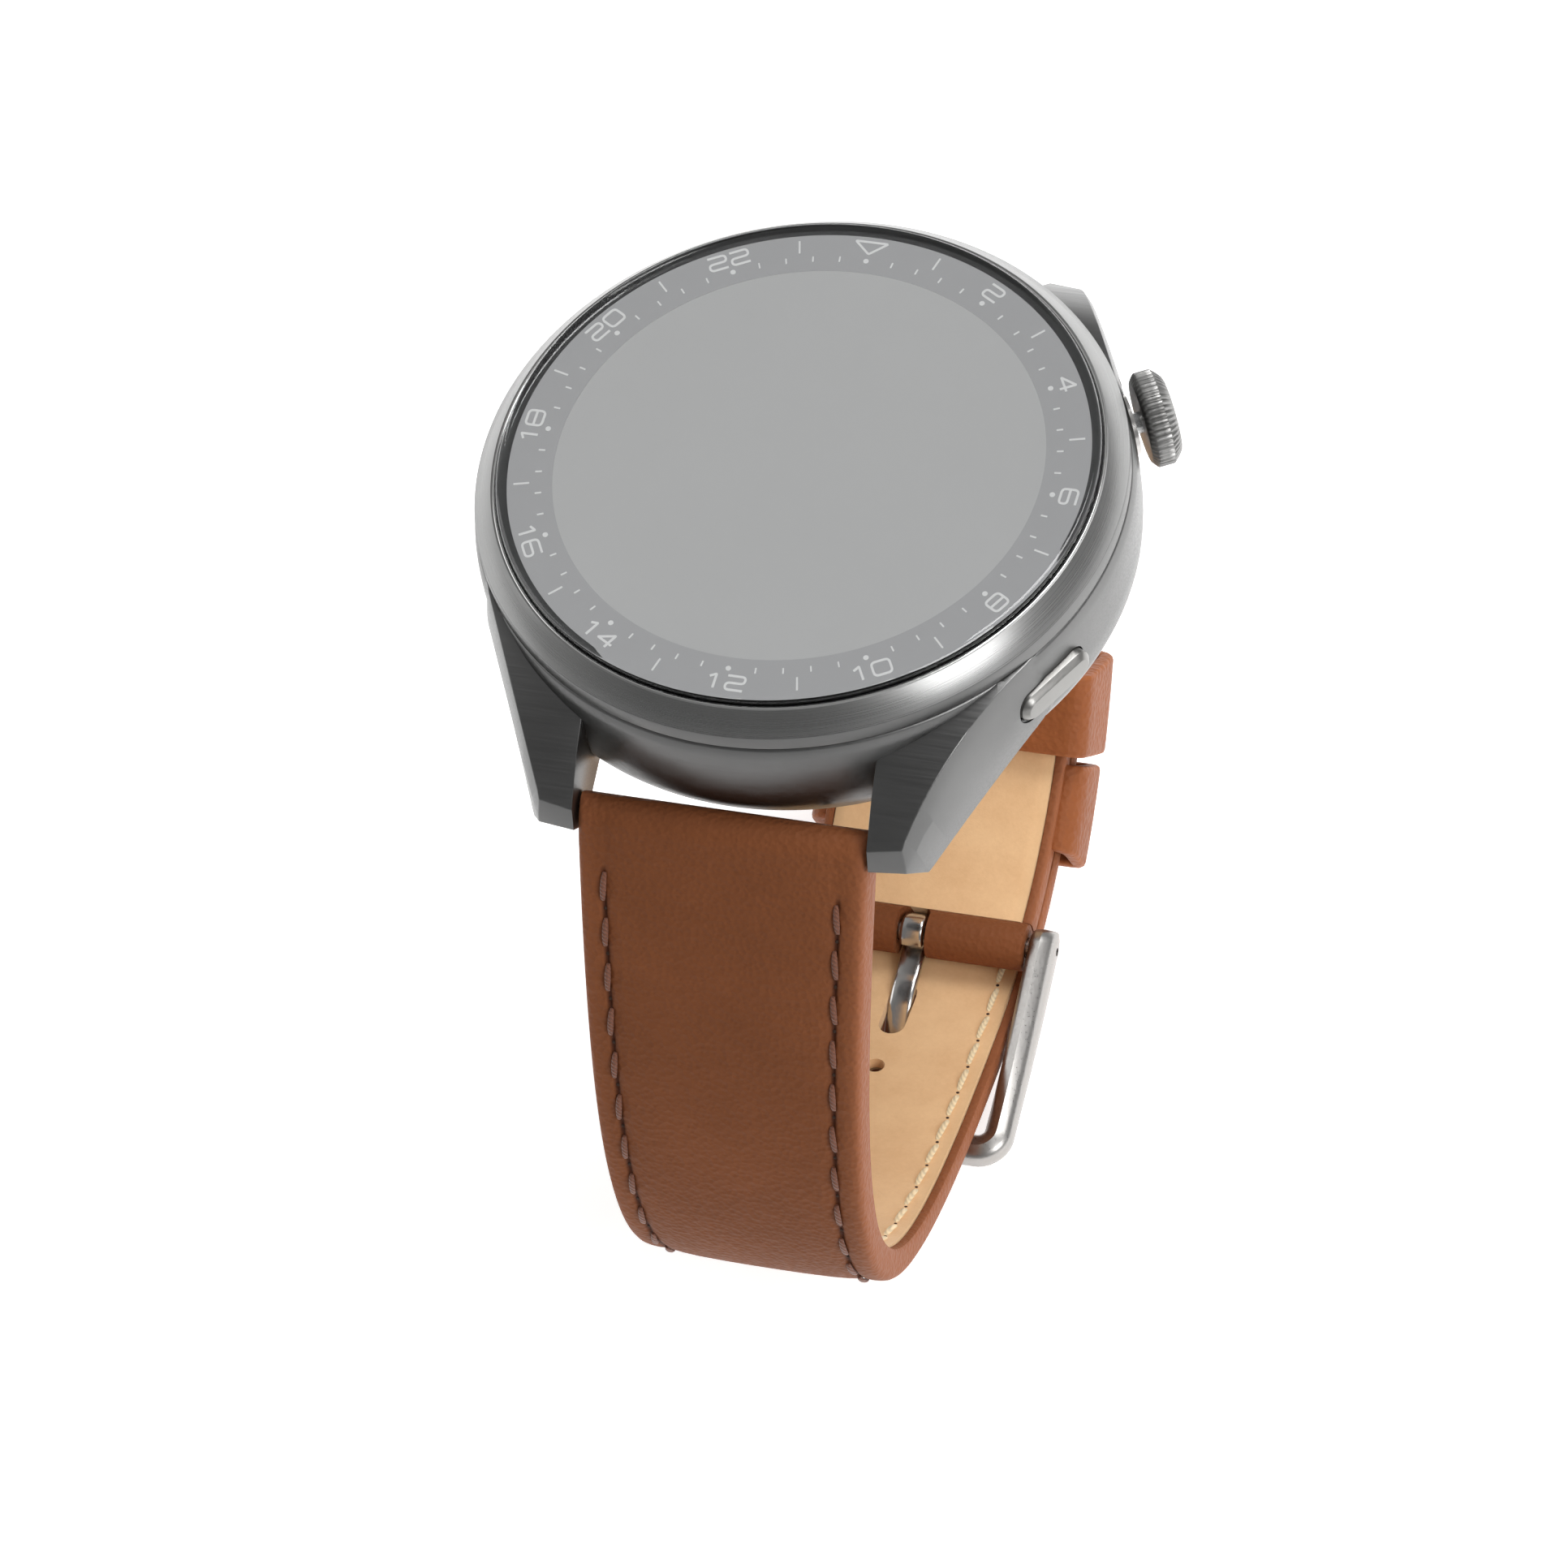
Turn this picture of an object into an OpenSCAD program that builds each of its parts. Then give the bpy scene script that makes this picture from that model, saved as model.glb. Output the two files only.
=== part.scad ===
// Round smartwatch on a buckled two-piece leather strap.
// Origin: centre of the back window, where the wrist bears. +Z leaves the dial,
// +Y points to twelve o'clock and +X to three o'clock. All sizes are millimetres.

/* [Case] */
// Height from the back window to the top of the glass
case_height = 14; // [13:0.1:17]
// Outside diameter of the bezel
bezel_d = 48.3; // [40:0.1:60]
// How far the middle case stands out past the bezel, at its widest
case_bulge = 0.35; // [0.1:0.05:1]
// Height of the bezel, from its seat on the middle case to its polished lip
bezel_height = 2.8; // [2.4:0.1:4]
// Height of the bezel's brushed slope
bezel_slope = 1.5; // [0.8:0.1:2]
// Width of the bezel's polished lip
lip_width = 0.3; // [0.2:0.05:0.6]
// Thickness of the middle case's wall
case_wall = 2.9; // [2.2:0.1:4]
// How far the glass stands above the bezel's lip
glass_stand = 0.65; // [0.2:0.05:1]
// Thickness of the front crystal
glass_thick = 1.1; // [0.8:0.1:2]

/* [Lugs] */
// How far a lug's tip stands out past the bezel, along the strap
lug_reach = 3.15; // [2.5:0.05:6]
// Gap between the strap and the lug on each side of it
lug_clear = 0.15; // [0.1:0.05:0.5]
// Radius of the long curve along the top of a lug
lug_arc = 16; // [14:0.5:20]
// Distance from a lug's tip to the axis of its spring bar
bar_inset = 1.9; // [1.8:0.1:3]
// Height of the spring bars above the back window
bar_z = 1.75; // [1.5:0.05:3]
// Slope of a lug's outer side, sideways for each millimetre along the strap
lug_flare = 0.486; // [0.3:0.01:0.6]
// Width of a lug's underside at its tip
lug_tip_w = 3.9; // [3:0.1:5]

/* [Crown and button] */
// Clock angle of the crown, from twelve o'clock
crown_angle = 60; // [50:1:70]
// Clock angle of the button, from twelve o'clock
button_angle = 119; // [112:1:128]
// Height of the crown's and the button's axes above the back window
control_z = 6.7; // [6:0.1:8]
// Diameter of the crown's knurled rim
crown_d = 7.2; // [5:0.1:8.8]
// Length of the crown's knurled rim
crown_len = 1.65; // [1:0.05:3]
// Number of teeth round the crown
crown_teeth = 48; // [20:1:60]
// Diameter of the crown's stem
stem_d = 1.6; // [1.2:0.1:2]
// How far the crown goes in when it is pressed
crown_travel = 0.45; // [0.2:0.05:0.8]
// Length of the button's face
button_len = 7; // [4:0.1:9]
// Height of the button's face
button_h = 2.4; // [1.8:0.1:3]
// How far the button stands out of the case
button_stand = 0.8; // [0.5:0.05:1.5]
// How far the button goes in when it is pressed
button_travel = 0.4; // [0.2:0.05:0.5]

/* [Strap] */
// Width of the strap at the lugs
strap_w = 21.9; // [17:0.1:26.7]
// Width of the strap at the buckle
strap_tail_w = 18; // [14:0.1:22]
// Thickness of the outer leather
outer_t = 1.3; // [1:0.1:1.8]
// Thickness of the lining
lining_t = 0.9; // [0.6:0.1:1.2]
// Thickness of the filler at the lugs
filler_t = 1.4; // [0.8:0.1:2.2]
// Thickness of the filler of the short piece at the buckle
filler_short_t = 0.6; // [0.4:0.1:1]
// Thickness of the filler at the tail's tip
filler_tail_t = 0.2; // [0.1:0.1:0.6]
// Radius of the short piece's lining over the buckle end
wrist_r_low = 24; // [22:0.5:28]
// Radius of the short piece's lining over its middle
wrist_r_mid = 32; // [28:0.5:36]
// Radius of the short piece's lining near the lugs
wrist_r_top = 55; // [45:1:70]
// Gap between the tail and the short piece under it
tail_gap = 0.3; // [0.2:0.05:0.6]
// Distance between the strap's holes
hole_pitch = 6.5; // [5:0.1:8]
// Diameter of the strap's holes
hole_d = 1.5; // [1.2:0.1:2]
// Number of spare holes on the free side of the one in use
spare_holes = 3; // [1:1:4]
// Distance of the stitching from the strap's edge
stitch_inset = 2; // [1.5:0.1:3]
// Distance from one stitch to the next
stitch_pitch = 3.7; // [2.5:0.1:5]
// Length of a stitch
stitch_len = 2.3; // [1.5:0.1:2.4]
// Diameter of the sewing thread
thread_d = 0.4; // [0.3:0.05:0.6]

/* [Buckle and keepers] */
// Diameter of the buckle's pin and of both spring bars
pin_d = 1.5; // [1.2:0.1:1.6]
// Thickness of the buckle's side bars
buckle_side = 2; // [1.6:0.1:3]
// Height of the buckle's side bars at the pin
buckle_h = 3.2; // [2.8:0.1:4]
// Diameter of the buckle's cross bar
buckle_bar_d = 2.4; // [2:0.1:3]
// Width of the buckle's tongue
tongue_w = 1.9; // [1:0.1:2]
// Thickness of the buckle's tongue
tongue_t = 0.8; // [0.6:0.05:1]
// Width of each keeper along the strap
keeper_w = 7.4; // [5:0.1:8]
// Thickness of a keeper's leather
keeper_t = 1.2; // [0.8:0.1:1.6]
// Slack between the free keeper and what it holds
keeper_slack = 0.4; // [0.3:0.05:0.8]

/* [Works] */
// Diameter of the battery
battery_d = 28; // [20:0.5:30]
// Thickness of the battery
battery_t = 5.2; // [3:0.1:5.4]
// Diameter of the back window
window_d = 27; // [22:0.5:30]
// Thickness of the main board
board_t = 0.8; // [0.6:0.1:1]
// Thickness of the display panel
display_t = 0.7; // [0.5:0.1:0.8]

/* [Hidden] */
$fn = 96;
fit = 0.04;             // radial clearance of every running fit
seat_gap = 0.02;        // face clearance between parts assembled in the case
over = 1;               // how far a cutting shape runs past what it cuts

// ---- case heights and radii ----
bezel_r = bezel_d / 2;
lip_z = case_height - glass_stand;
seat_z = lip_z - bezel_height;
case_r = bezel_r + case_bulge;
cavity_r = case_r - case_wall;
lip_r = bezel_r - bezel_slope;
glass_r = lip_r - lip_width - 0.05;
ledge_r = glass_r - 0.65;
glass_z = case_height - glass_thick;
gasket_t = 0.3;
ledge_z = glass_z - gasket_t;
ring_t = 0.14;
mark_t = 0.06;
dial_z = glass_z - mark_t - ring_t;
display_z = dial_z - seat_gap - display_t;
back_r = cavity_r - 0.7;
back_z = 0.45;
back_t = 1.25;
floor_z = back_z + back_t;

// ---- lugs and spring bars ----
lug_in = strap_w / 2 + lug_clear;
tip_y = bezel_r + lug_reach;
facet_y = 1.9;
root_y = tip_y - 14;
bar_y = tip_y - bar_inset;
arc_y = tip_y - 13.8;
arc_z = seat_z + 0.07 - lug_arc;
tip_hole_r = 0.5;
tip_r = 0.42;
tip_reach = 1.35;
bar_half = lug_in - 0.75;

// ---- dial print ----
minute_r = bezel_r - 4.96;
number_r = bezel_r - 3.6;
digit_w = 1.35;
digit_h = 1.33;
digit_stroke = 0.2;

// ---- stacking of the works ----
board_z = display_z - 1.3 - board_t;
battery_z = floor_z + 1.7;
frame_in = cavity_r - 1;
frame_out = cavity_r - 0.3;

// ---- crown and button ----
crown_in = case_r + 0.85;
crown_r = crown_d / 2;
crown_clear = 0.25;
stem_r = stem_d / 2;
tube_r = stem_r + 0.9;
tube_bore = stem_r + 0.5;
flange_r = tube_r + 0.6;
flange_in = case_r - 0.15;
wheel_in = cavity_r - 1.65;
stem_in = wheel_in - 2.15;
button_face = case_r + button_stand;
button_back = button_face - 1.4;
pocket_floor = button_back - button_travel - 0.1;
shaft_r = 0.6;
shaft_in = cavity_r - 1.45;

// ---- strap layers ----
pin_r = pin_d / 2;
short_t = lining_t + filler_short_t + outer_t;
lug_t = lining_t + filler_t + outer_t;
lining_depth = pin_r + fit + 0.66;
loop_r = lug_t / 2;
tail_t = lining_t + filler_tail_t + outer_t;

// Point at heading a on a circle in the strap's plane; heading 0 is the bottom.
function on_arc(c, r, a) = c + r * [sin(a), -cos(a)];
function outward(a) = [sin(a), -cos(a)];

// Short piece: three arcs of lining from the rear spring bar down to the buckle.
head_lug = 114;
head_top = 95;
head_mid = 40;
head_pin = 3.5;
rear_bar = [bar_y, bar_z];
short_top_c = rear_bar - (lining_depth + wrist_r_top) * outward(head_lug);
short_mid_c = short_top_c + (wrist_r_top - wrist_r_mid) * outward(head_top);
short_low_c = short_mid_c + (wrist_r_mid - wrist_r_low) * outward(head_mid);
buckle_pin_r = wrist_r_low + 0.9;
pin_at = on_arc(short_low_c, buckle_pin_r, head_pin);
wrap_r = short_t + wrist_r_low - buckle_pin_r;
wrap_half = asin((wrap_r + 0.05) / buckle_pin_r);

function short_c(a) = a < head_mid ? short_low_c : a < head_top ? short_mid_c : short_top_c;
function short_r(a) = a < head_mid ? wrist_r_low : a < head_top ? wrist_r_mid : wrist_r_top;
function short_filler(a) =
    filler_short_t + (filler_t - filler_short_t) * max(0, (a - 70) / (head_lug - 70));
function short_station(a) = [on_arc(short_c(a), short_r(a), a), outward(a), short_filler(a)];
function headings(a0, a1, n) = [for (i = [0:n]) a0 + (a1 - a0) * i / n];
function short_run(a0, a1, n) = [for (a = headings(a0, a1, n)) short_station(a)];

// Long piece: one cubic curve from the front spring bar to the buckle, then a tail
// that follows the outside of the short piece at tail_gap.
head_join = -10;
front_bar = [-bar_y, bar_z];
head_front = -119;
tail_off = short_t + tail_gap;
long_reach = 38.8;
join_reach = 37.7;
function heading(a) = [cos(a), sin(a)];
long_p0 = front_bar - lining_depth * outward(head_front);
long_p3 = on_arc(short_low_c, wrist_r_low + tail_off, head_join);
long_p1 = long_p0 + long_reach * heading(head_front);
long_p2 = long_p3 - join_reach * heading(head_join);
function curve_at(t) =
    pow(1 - t, 3) * long_p0 + 3 * t * pow(1 - t, 2) * long_p1
    + 3 * t * t * (1 - t) * long_p2 + t * t * t * long_p3;
function curve_way(t) =
    let (d = pow(1 - t, 2) * (long_p1 - long_p0) + 2 * t * (1 - t) * (long_p2 - long_p1)
        + t * t * (long_p3 - long_p2))
    d / norm(d);
function curve_station(t) =
    let (w = curve_way(t))
    [curve_at(t), [w[1], -w[0]], filler_tail_t + (filler_t - filler_tail_t) * (1 - t)];
function tail_station(a) =
    [on_arc(short_c(a), short_r(a) + tail_off, a), outward(a), filler_tail_t];
curve_steps = 60;
curve_steps_list = [for (i = [0:curve_steps]) curve_at(i / curve_steps)];
function length_to(i) = i == 0 ? 0
    : length_to(i - 1) + norm(curve_steps_list[i] - curve_steps_list[i - 1]);
length_table = [for (i = [0:curve_steps]) [length_to(i), i / curve_steps]];
curve_len = length_to(curve_steps);
function long_station(s) = s <= curve_len ? curve_station(lookup(s, length_table))
    : tail_station(head_join
        + (s - curve_len) / (wrist_r_low + tail_off) * 180 / PI);
head_tip = 52;

// Keepers: the fixed one sits on the low arc, the free one on the middle arc.
keeper_step = keeper_w / (wrist_r_low + tail_off) * 180 / PI;
fixed_to = head_mid - 1.2;
fixed_from = fixed_to - keeper_step;
free_from = head_mid + 0.5;
free_to = free_from + keeper_w / (wrist_r_mid + tail_off) * 180 / PI;

// Buckle: the cross bar lies outside the tail, back along it from the hole in use.
hole_at = curve_len;
cross_gap = 0.45;
cross_back = 9.9;
cross_at = long_station(hole_at - cross_back);
cross_c = cross_at[0]
    + cross_at[1] * (lining_t + cross_at[2] + outer_t + cross_gap + buckle_bar_d / 2);
frame_way = cross_c - pin_at;
frame_len = norm(frame_way);
frame_tilt = atan2(frame_way[1], frame_way[0]);
frame_in_x = strap_tail_w / 2 + 0.5;
frame_out_x = frame_in_x + buckle_side;
tongue_ring = pin_r + fit + 0.7;
tongue_path = [
    pin_at,
    on_arc(short_low_c, buckle_pin_r + 0.5, -3.5),
    on_arc(short_low_c, wrist_r_low + tail_off + tail_t + 0.9, -14),
    cross_c + cross_at[1] * (buckle_bar_d / 2 + cross_gap + tongue_t / 2),
    cross_c + cross_at[1] * (buckle_bar_d / 2 + cross_gap + tongue_t / 2)
        - 1.2 * [-cross_at[1][1], cross_at[1][0]]
];
slot_long = 5.6;

// ---- helpers ----
// Draws along the radius at clock angle a and height z: local +Z runs outwards.
module radial(a, z) {
    rotate([0, 0, 90 - a]) translate([0, 0, z]) rotate([0, 90, 0]) children();
}

// Flat shape in the strap's plane, drawn across the strap.
module across(w) {
    rotate([90, 0, 90]) linear_extrude(w, center = true) children();
}

// Round bar across the strap, centred on the point p.
module cross_rod(p, r, w) {
    translate([0, p[0], p[1]]) rotate([0, 90, 0]) cylinder(h = w, r = r, center = true);
}

// Band between two depths of a run of stations, measured outwards from the lining's face.
module band(run, low, high) {
    polygon(concat(
        [for (s = run) s[0] + s[1] * (low[0] + low[1] * s[2])],
        [for (i = [len(run) - 1:-1:0]) run[i][0] + run[i][1] * (high[0] + high[1] * run[i][2])]
    ));
}

// Everything inside the strap's tapered sides, grown by extra on each side.
module strap_sides(extra = 0) {
    top = bar_z + 30;
    taper_top = bar_z - 2;
    taper_low = pin_at[1] - 5;
    w0 = strap_w / 2 + extra;
    w1 = strap_tail_w / 2 + extra;
    rotate([90, 0, 0]) linear_extrude(400, center = true) polygon([
        [-w0, top], [-w0, taper_top], [-w1, taper_low], [-w1, taper_low - 30],
        [w1, taper_low - 30], [w1, taper_low], [w0, taper_top], [w0, top]
    ]);
}
function side_at(z) =
    strap_tail_w / 2 + (strap_w - strap_tail_w) / 2
    * min(1, max(0, (z - pin_at[1] + 5) / (bar_z + 3 - pin_at[1])));

module pill(len, h) {
    translate([0, -(len - h) / 2]) circle(d = h);
    translate([0, (len - h) / 2]) circle(d = h);
    square([h, len - h], center = true);
}

module ring_solid(r_in, r_out, z, h) {
    translate([0, 0, z]) rotate_extrude() translate([r_in, 0]) square([r_out - r_in, h]);
}

// ---- case ----
case_profile = [
    [cavity_r, seat_z], [bezel_r, seat_z], [case_r - 0.1, seat_z - 0.75],
    [case_r, seat_z - 2.2], [case_r - 0.05, 5.4], [case_r - 0.25, 3.8],
    [case_r - 0.85, 2.5], [case_r - 1.9, 1.6], [case_r - 3.1, 1.15], [back_r, 1.1],
    [back_r, floor_z], [cavity_r, floor_z]
];

// One lug of the front right corner, before it joins the round case.
module lug() {
    plan = [
        [lug_in, -tip_y], [lug_in + lug_tip_w * 0.72, -tip_y + 0.35],
        [lug_in + lug_tip_w, -tip_y + facet_y],
        [lug_in + lug_tip_w + lug_flare * (tip_y - facet_y - root_y), -root_y],
        [lug_in, -root_y]
    ];
    side = [
        [-tip_y, bar_z + 0.3], [-tip_y + 0.5, bar_z + 2.1], [-tip_y + 0.5, case_height],
        [1.3 - root_y, case_height], [1.3 - root_y, 2.6], [-tip_y + 7, 1.2],
        [-tip_y + 2, 0.27]
    ];
    intersection() {
        linear_extrude(case_height) polygon(plan);
        across(2 * tip_y) polygon(side);
        translate([0, -arc_y, arc_z]) rotate([0, 90, 0]) cylinder(h = 2 * tip_y, r = lug_arc, $fn = 180);
    }
}

module lug_pair() {
    lug();
    mirror([1, 0, 0]) lug();
}

module case_middle() {
    boss_r = 1.5;
    color("#8f9092") difference() {
        union() {
            rotate_extrude($fn = 180) polygon(case_profile);
            lug_pair();
            mirror([0, 1, 0]) lug_pair();
            for (a = [45:90:315]) rotate([0, 0, a]) screw_boss(boss_r);
        }
        translate([0, 0, floor_z + 3]) cylinder(h = case_height, r = cavity_r);
        translate([0, 0, -over]) cylinder(h = floor_z + over, r = back_r);
        translate([0, 0, seat_z]) cylinder(h = case_height, r = bezel_r + 0.02, $fn = 180);
        radial(crown_angle, control_z) {
            cylinder(h = case_r + 5, r = tube_r + 0.01);
            translate([0, 0, flange_in - 0.01]) cylinder(h = 5, r = flange_r + 0.01);
            translate([0, 0, crown_in - 0.1]) cylinder(h = 8, r = crown_r + crown_clear);
        }
        radial(button_angle, control_z) {
            cylinder(h = case_r + 5, r = shaft_r + fit);
            translate([0, 0, cavity_r + 0.75]) cylinder(h = 4, r = shaft_r + 0.32);
            translate([0, 0, pocket_floor]) linear_extrude(5)
                pill(button_len + 0.24, button_h + 0.24);
        }
        for (y = [-bar_y, bar_y]) cross_rod([y, bar_z], tip_hole_r, 2 * (lug_in + 1.6));
        for (a = [45:90:315]) rotate([0, 0, a])
            translate([back_r - 1.6, 0, 0]) cylinder(h = floor_z + 2.4, r = 0.52);
    }
}

// Lump inside the case wall that a back screw goes into.
module screw_boss(r) {
    intersection() {
        translate([back_r - 1.6, 0, floor_z]) {
            cylinder(h = 3, r = r);
            translate([0, -r, 0]) cube([4, 2 * r, 3]);
        }
        cylinder(h = case_height, r = cavity_r + 0.2);
    }
}

module bezel() {
    color("#9c9d9f") rotate_extrude($fn = 180) polygon([
        [ledge_r, seat_z + seat_gap], [bezel_r, seat_z + seat_gap],
        [bezel_r, lip_z - bezel_slope], [lip_r, lip_z], [lip_r - lip_width, lip_z],
        [lip_r - lip_width, ledge_z], [ledge_r, ledge_z]
    ]);
}

module crystal_gasket() {
    color("#222222") ring_solid(ledge_r, glass_r, ledge_z, gasket_t);
}

module front_crystal() {
    rim = 0.75;
    color("#c8d0d8", 0.35) rotate_extrude($fn = 180) union() {
        translate([0, glass_z]) square([glass_r - rim, glass_thick]);
        translate([0, glass_z]) square([glass_r, glass_thick - rim]);
        intersection() {
            translate([glass_r - rim, case_height - rim]) circle(r = rim, $fn = 48);
            translate([0, glass_z]) square([glass_r, glass_thick]);
        }
    }
}

module dial_ring() {
    color("#959595") ring_solid(minute_r - 1, ledge_r - 0.05, dial_z, ring_t);
}

// Strokes of one figure of the dial, in a box of digit_w by digit_h round the origin.
module figure(n) {
    bars = [
        [0, digit_h / 2, 1], [digit_w / 2, digit_h / 4, 0], [digit_w / 2, -digit_h / 4, 0],
        [0, -digit_h / 2, 1], [-digit_w / 2, -digit_h / 4, 0],
        [-digit_w / 2, digit_h / 4, 0], [0, 0, 1]
    ];
    shown = [
        [0, 1, 2, 3, 4, 5], [1, 2], [0, 1, 6, 4, 3], [0, 1, 6, 2, 3], [5, 6, 1, 2],
        [0, 5, 6, 2, 3], [0, 5, 6, 4, 3, 2], [0, 1, 2], [0, 1, 2, 3, 4, 5, 6],
        [0, 5, 6, 1, 2, 3]
    ];
    for (k = shown[n]) translate([bars[k][0], bars[k][1]])
        square(bars[k][2] == 1 ? [digit_w, digit_stroke] : [digit_stroke, digit_h / 2 + digit_stroke],
            center = true);
}

module dial_number(n) {
    step = digit_w + 0.35;
    if (n < 10) figure(n);
    else {
        translate([-step / 2, 0]) figure(floor(n / 10));
        translate([step / 2, 0]) figure(n % 10);
    }
}

module dial_marks() {
    color("#e6e6e6") translate([0, 0, dial_z + ring_t]) linear_extrude(mark_t - 0.005) {
        for (k = [0:59]) rotate([0, 0, -6 * k]) translate([0, minute_r])
            if (k % 5 == 0) circle(d = 0.42, $fn = 24);
            else square([0.12, 0.5], center = true);
        for (k = [0:11]) rotate([0, 0, -30 * k - 15]) translate([0, number_r])
            square([0.2, 1.15], center = true);
        for (h = [1:11]) rotate([0, 0, -30 * h]) translate([0, number_r])
            rotate([0, 0, h > 3 && h < 9 ? 180 : 0]) dial_number(2 * h);
        difference() {
            polygon([[-1.6, number_r + 0.65], [1.6, number_r + 0.65], [0, number_r - 0.6]]);
            polygon([[-1.2, number_r + 0.5], [1.2, number_r + 0.5], [0, number_r - 0.4]]);
        }
    }
}

module display_panel() {
    color("#2a2d30") translate([0, 0, display_z])
        cylinder(h = display_t, r = ledge_r - 0.3, $fn = 180);
}

module display_flex() {
    flex_w = 6;
    y0 = -frame_in + 4;
    color("#b5651d") translate([-flex_w / 2, y0, board_z + board_t + seat_gap]) {
        cube([flex_w, 0.2, display_z - board_z - board_t - 2 * seat_gap]);
        cube([flex_w, 3, 0.2]);
    }
}

// ---- works ----
module inner_frame() {
    z0 = floor_z + 3.2;
    color("#3a3c3f") difference() {
        ring_solid(frame_in, frame_out, z0, board_z - z0 - seat_gap);
        for (a = [crown_angle, button_angle]) radial(a, control_z)
            translate([0, 0, cavity_r - 2]) linear_extrude(4) square([6, 5.4], center = true);
    }
}

module main_board() {
    color("#1f6b3b") difference() {
        translate([0, 0, board_z]) cylinder(h = board_t, r = frame_out);
        for (x = [-12, 12]) translate([x, 0, board_z - over]) cylinder(h = 4, r = 0.8);
    }
}

module shield_cans() {
    can_t = 0.9;
    color("#b9bcc0") for (p = [[-9, 5], [8, 6], [0, -8]])
        translate([p[0], p[1], board_z - seat_gap - can_t / 2]) cube([10, 7, can_t], center = true);
}

module battery() {
    color("#4a4d52") translate([0, 0, battery_z]) {
        cylinder(h = battery_t, r = battery_d / 2);
        translate([-2.5, -battery_d / 2 - 1, battery_t - 1.2]) cube([5, 3, 0.9]);
    }
}

module haptic_motor() {
    color("#9aa0a6") translate([-battery_d / 2 - 2.3, 0, battery_z + 1.6])
        cube([3.4, 9, 3], center = true);
}

module speaker() {
    color("#303234") translate([0, battery_d / 2 + 2.4, battery_z + 1.7])
        cube([9, 3.6, 3.2], center = true);
}

module microphone() {
    color("#c9a227") translate([-8.5, -battery_d / 2 - 1.2, board_z - seat_gap - 0.5])
        cube([3, 2, 1], center = true);
}

module sensor_board() {
    color("#1f6b3b") translate([0, 0, floor_z + 0.3]) cylinder(h = 0.6, r = window_d / 2 - 0.7);
}

module optical_sensors() {
    color("#101214") translate([0, 0, floor_z - 0.15]) linear_extrude(0.43) {
        square([2.6, 2.6], center = true);
        for (a = [0:60:300]) rotate([0, 0, a]) translate([4.6, 0]) square([1.8, 2.2], center = true);
    }
}

module charging_coil() {
    color("#b87333") ring_solid(7, window_d / 2 - 1.8, floor_z - 0.15, 0.4);
}

module ferrite_disc() {
    color("#2b2b2b") translate([0, 0, floor_z + 0.92]) cylinder(h = 0.3, r = window_d / 2 - 1);
}

module back_cover() {
    seat = window_d / 2 - 1;
    color("#55585c") difference() {
        rotate_extrude($fn = 180) polygon([
            [seat, back_z + 0.5], [window_d / 2 + 0.02, back_z + 0.5], [window_d / 2 + 0.02, back_z],
            [back_r - 0.9, back_z], [back_r - 0.1, back_z + 0.6], [back_r - 0.1, floor_z - 0.2],
            [seat, floor_z - 0.2]
        ]);
        for (a = [45:90:315]) rotate([0, 0, a]) translate([back_r - 1.6, 0, -over]) {
            cylinder(h = 5, r = 0.62);
            cylinder(h = over + back_z + 0.55, r = 1);
        }
    }
}

// Domed window with a flat middle that the charger's face rests on.
module back_window() {
    r = window_d / 2;
    color("#1b1d20") rotate_extrude($fn = 180) polygon([
        [0, 0], [r * 0.62, 0], [r * 0.84, 0.12], [r, back_z], [r, back_z + 0.5 - seat_gap],
        [r - 1.05, back_z + 0.5 - seat_gap], [r - 1.05, floor_z - 0.2], [0, floor_z - 0.2]
    ]);
}

module back_gasket() {
    color("#202020") ring_solid(back_r - 0.7, back_r - 0.12, floor_z - 0.19, 0.18);
}

module back_screws() {
    color("#c9cbce") for (a = [45:90:315]) rotate([0, 0, a]) translate([back_r - 1.6, 0, 0])
        difference() {
            union() {
                translate([0, 0, back_z + 0.05]) cylinder(h = 0.48, r = 0.95);
                translate([0, 0, back_z + 0.5]) cylinder(h = 3, r = 0.5);
            }
            translate([0, 0, back_z]) cube([1.3, 0.25, 0.5], center = true);
            cube([0.25, 1.3, 2 * back_z + 0.5], center = true);
        }
}

// ---- crown ----
module crown_tube() {
    color("#d5d7da") radial(crown_angle, control_z) difference() {
        union() {
            translate([0, 0, cavity_r - 0.3]) cylinder(h = case_wall + 0.3, r = tube_r);
            translate([0, 0, flange_in]) cylinder(h = 0.4, r = flange_r);
        }
        cylinder(h = case_r + 5, r = stem_r + fit);
        translate([0, 0, cavity_r + 0.6]) cylinder(h = 5, r = tube_bore);
    }
}

module crown_knob() {
    tip = 0.75;
    color("#8c8d8f") radial(crown_angle, control_z) translate([0, 0, crown_in]) difference() {
        rotate_extrude() polygon([
            [0, 0], [crown_r - 0.4, 0], [crown_r, 0.4], [crown_r, crown_len],
            [crown_r - tip, crown_len + tip], [crown_r - tip - 0.5, crown_len + tip],
            [crown_r - tip - 0.7, crown_len + tip - 0.12], [0, crown_len + tip + 0.05]
        ]);
        for (k = [0:crown_teeth - 1]) rotate([0, 0, k * 360 / crown_teeth])
            translate([crown_r + 0.07, 0, -over])
                cylinder(h = crown_len + tip + 2 * over, r = 0.19, $fn = 16);
        translate([0, 0, -over]) cylinder(h = over + 0.7, r = stem_r + 0.01);
    }
}

seal_in = cavity_r + 0.65 + crown_travel;
seal_z = [seal_in + 0.34, seal_in + 1.2];

module crown_stem() {
    color("#c2c4c7") radial(crown_angle, control_z) difference() {
        translate([0, 0, stem_in]) cylinder(h = crown_in + 0.7 - stem_in, r = stem_r);
        for (z = seal_z) ring_solid(stem_r - 0.22, stem_r + 1, z - 0.36, 0.72);
    }
}

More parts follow.
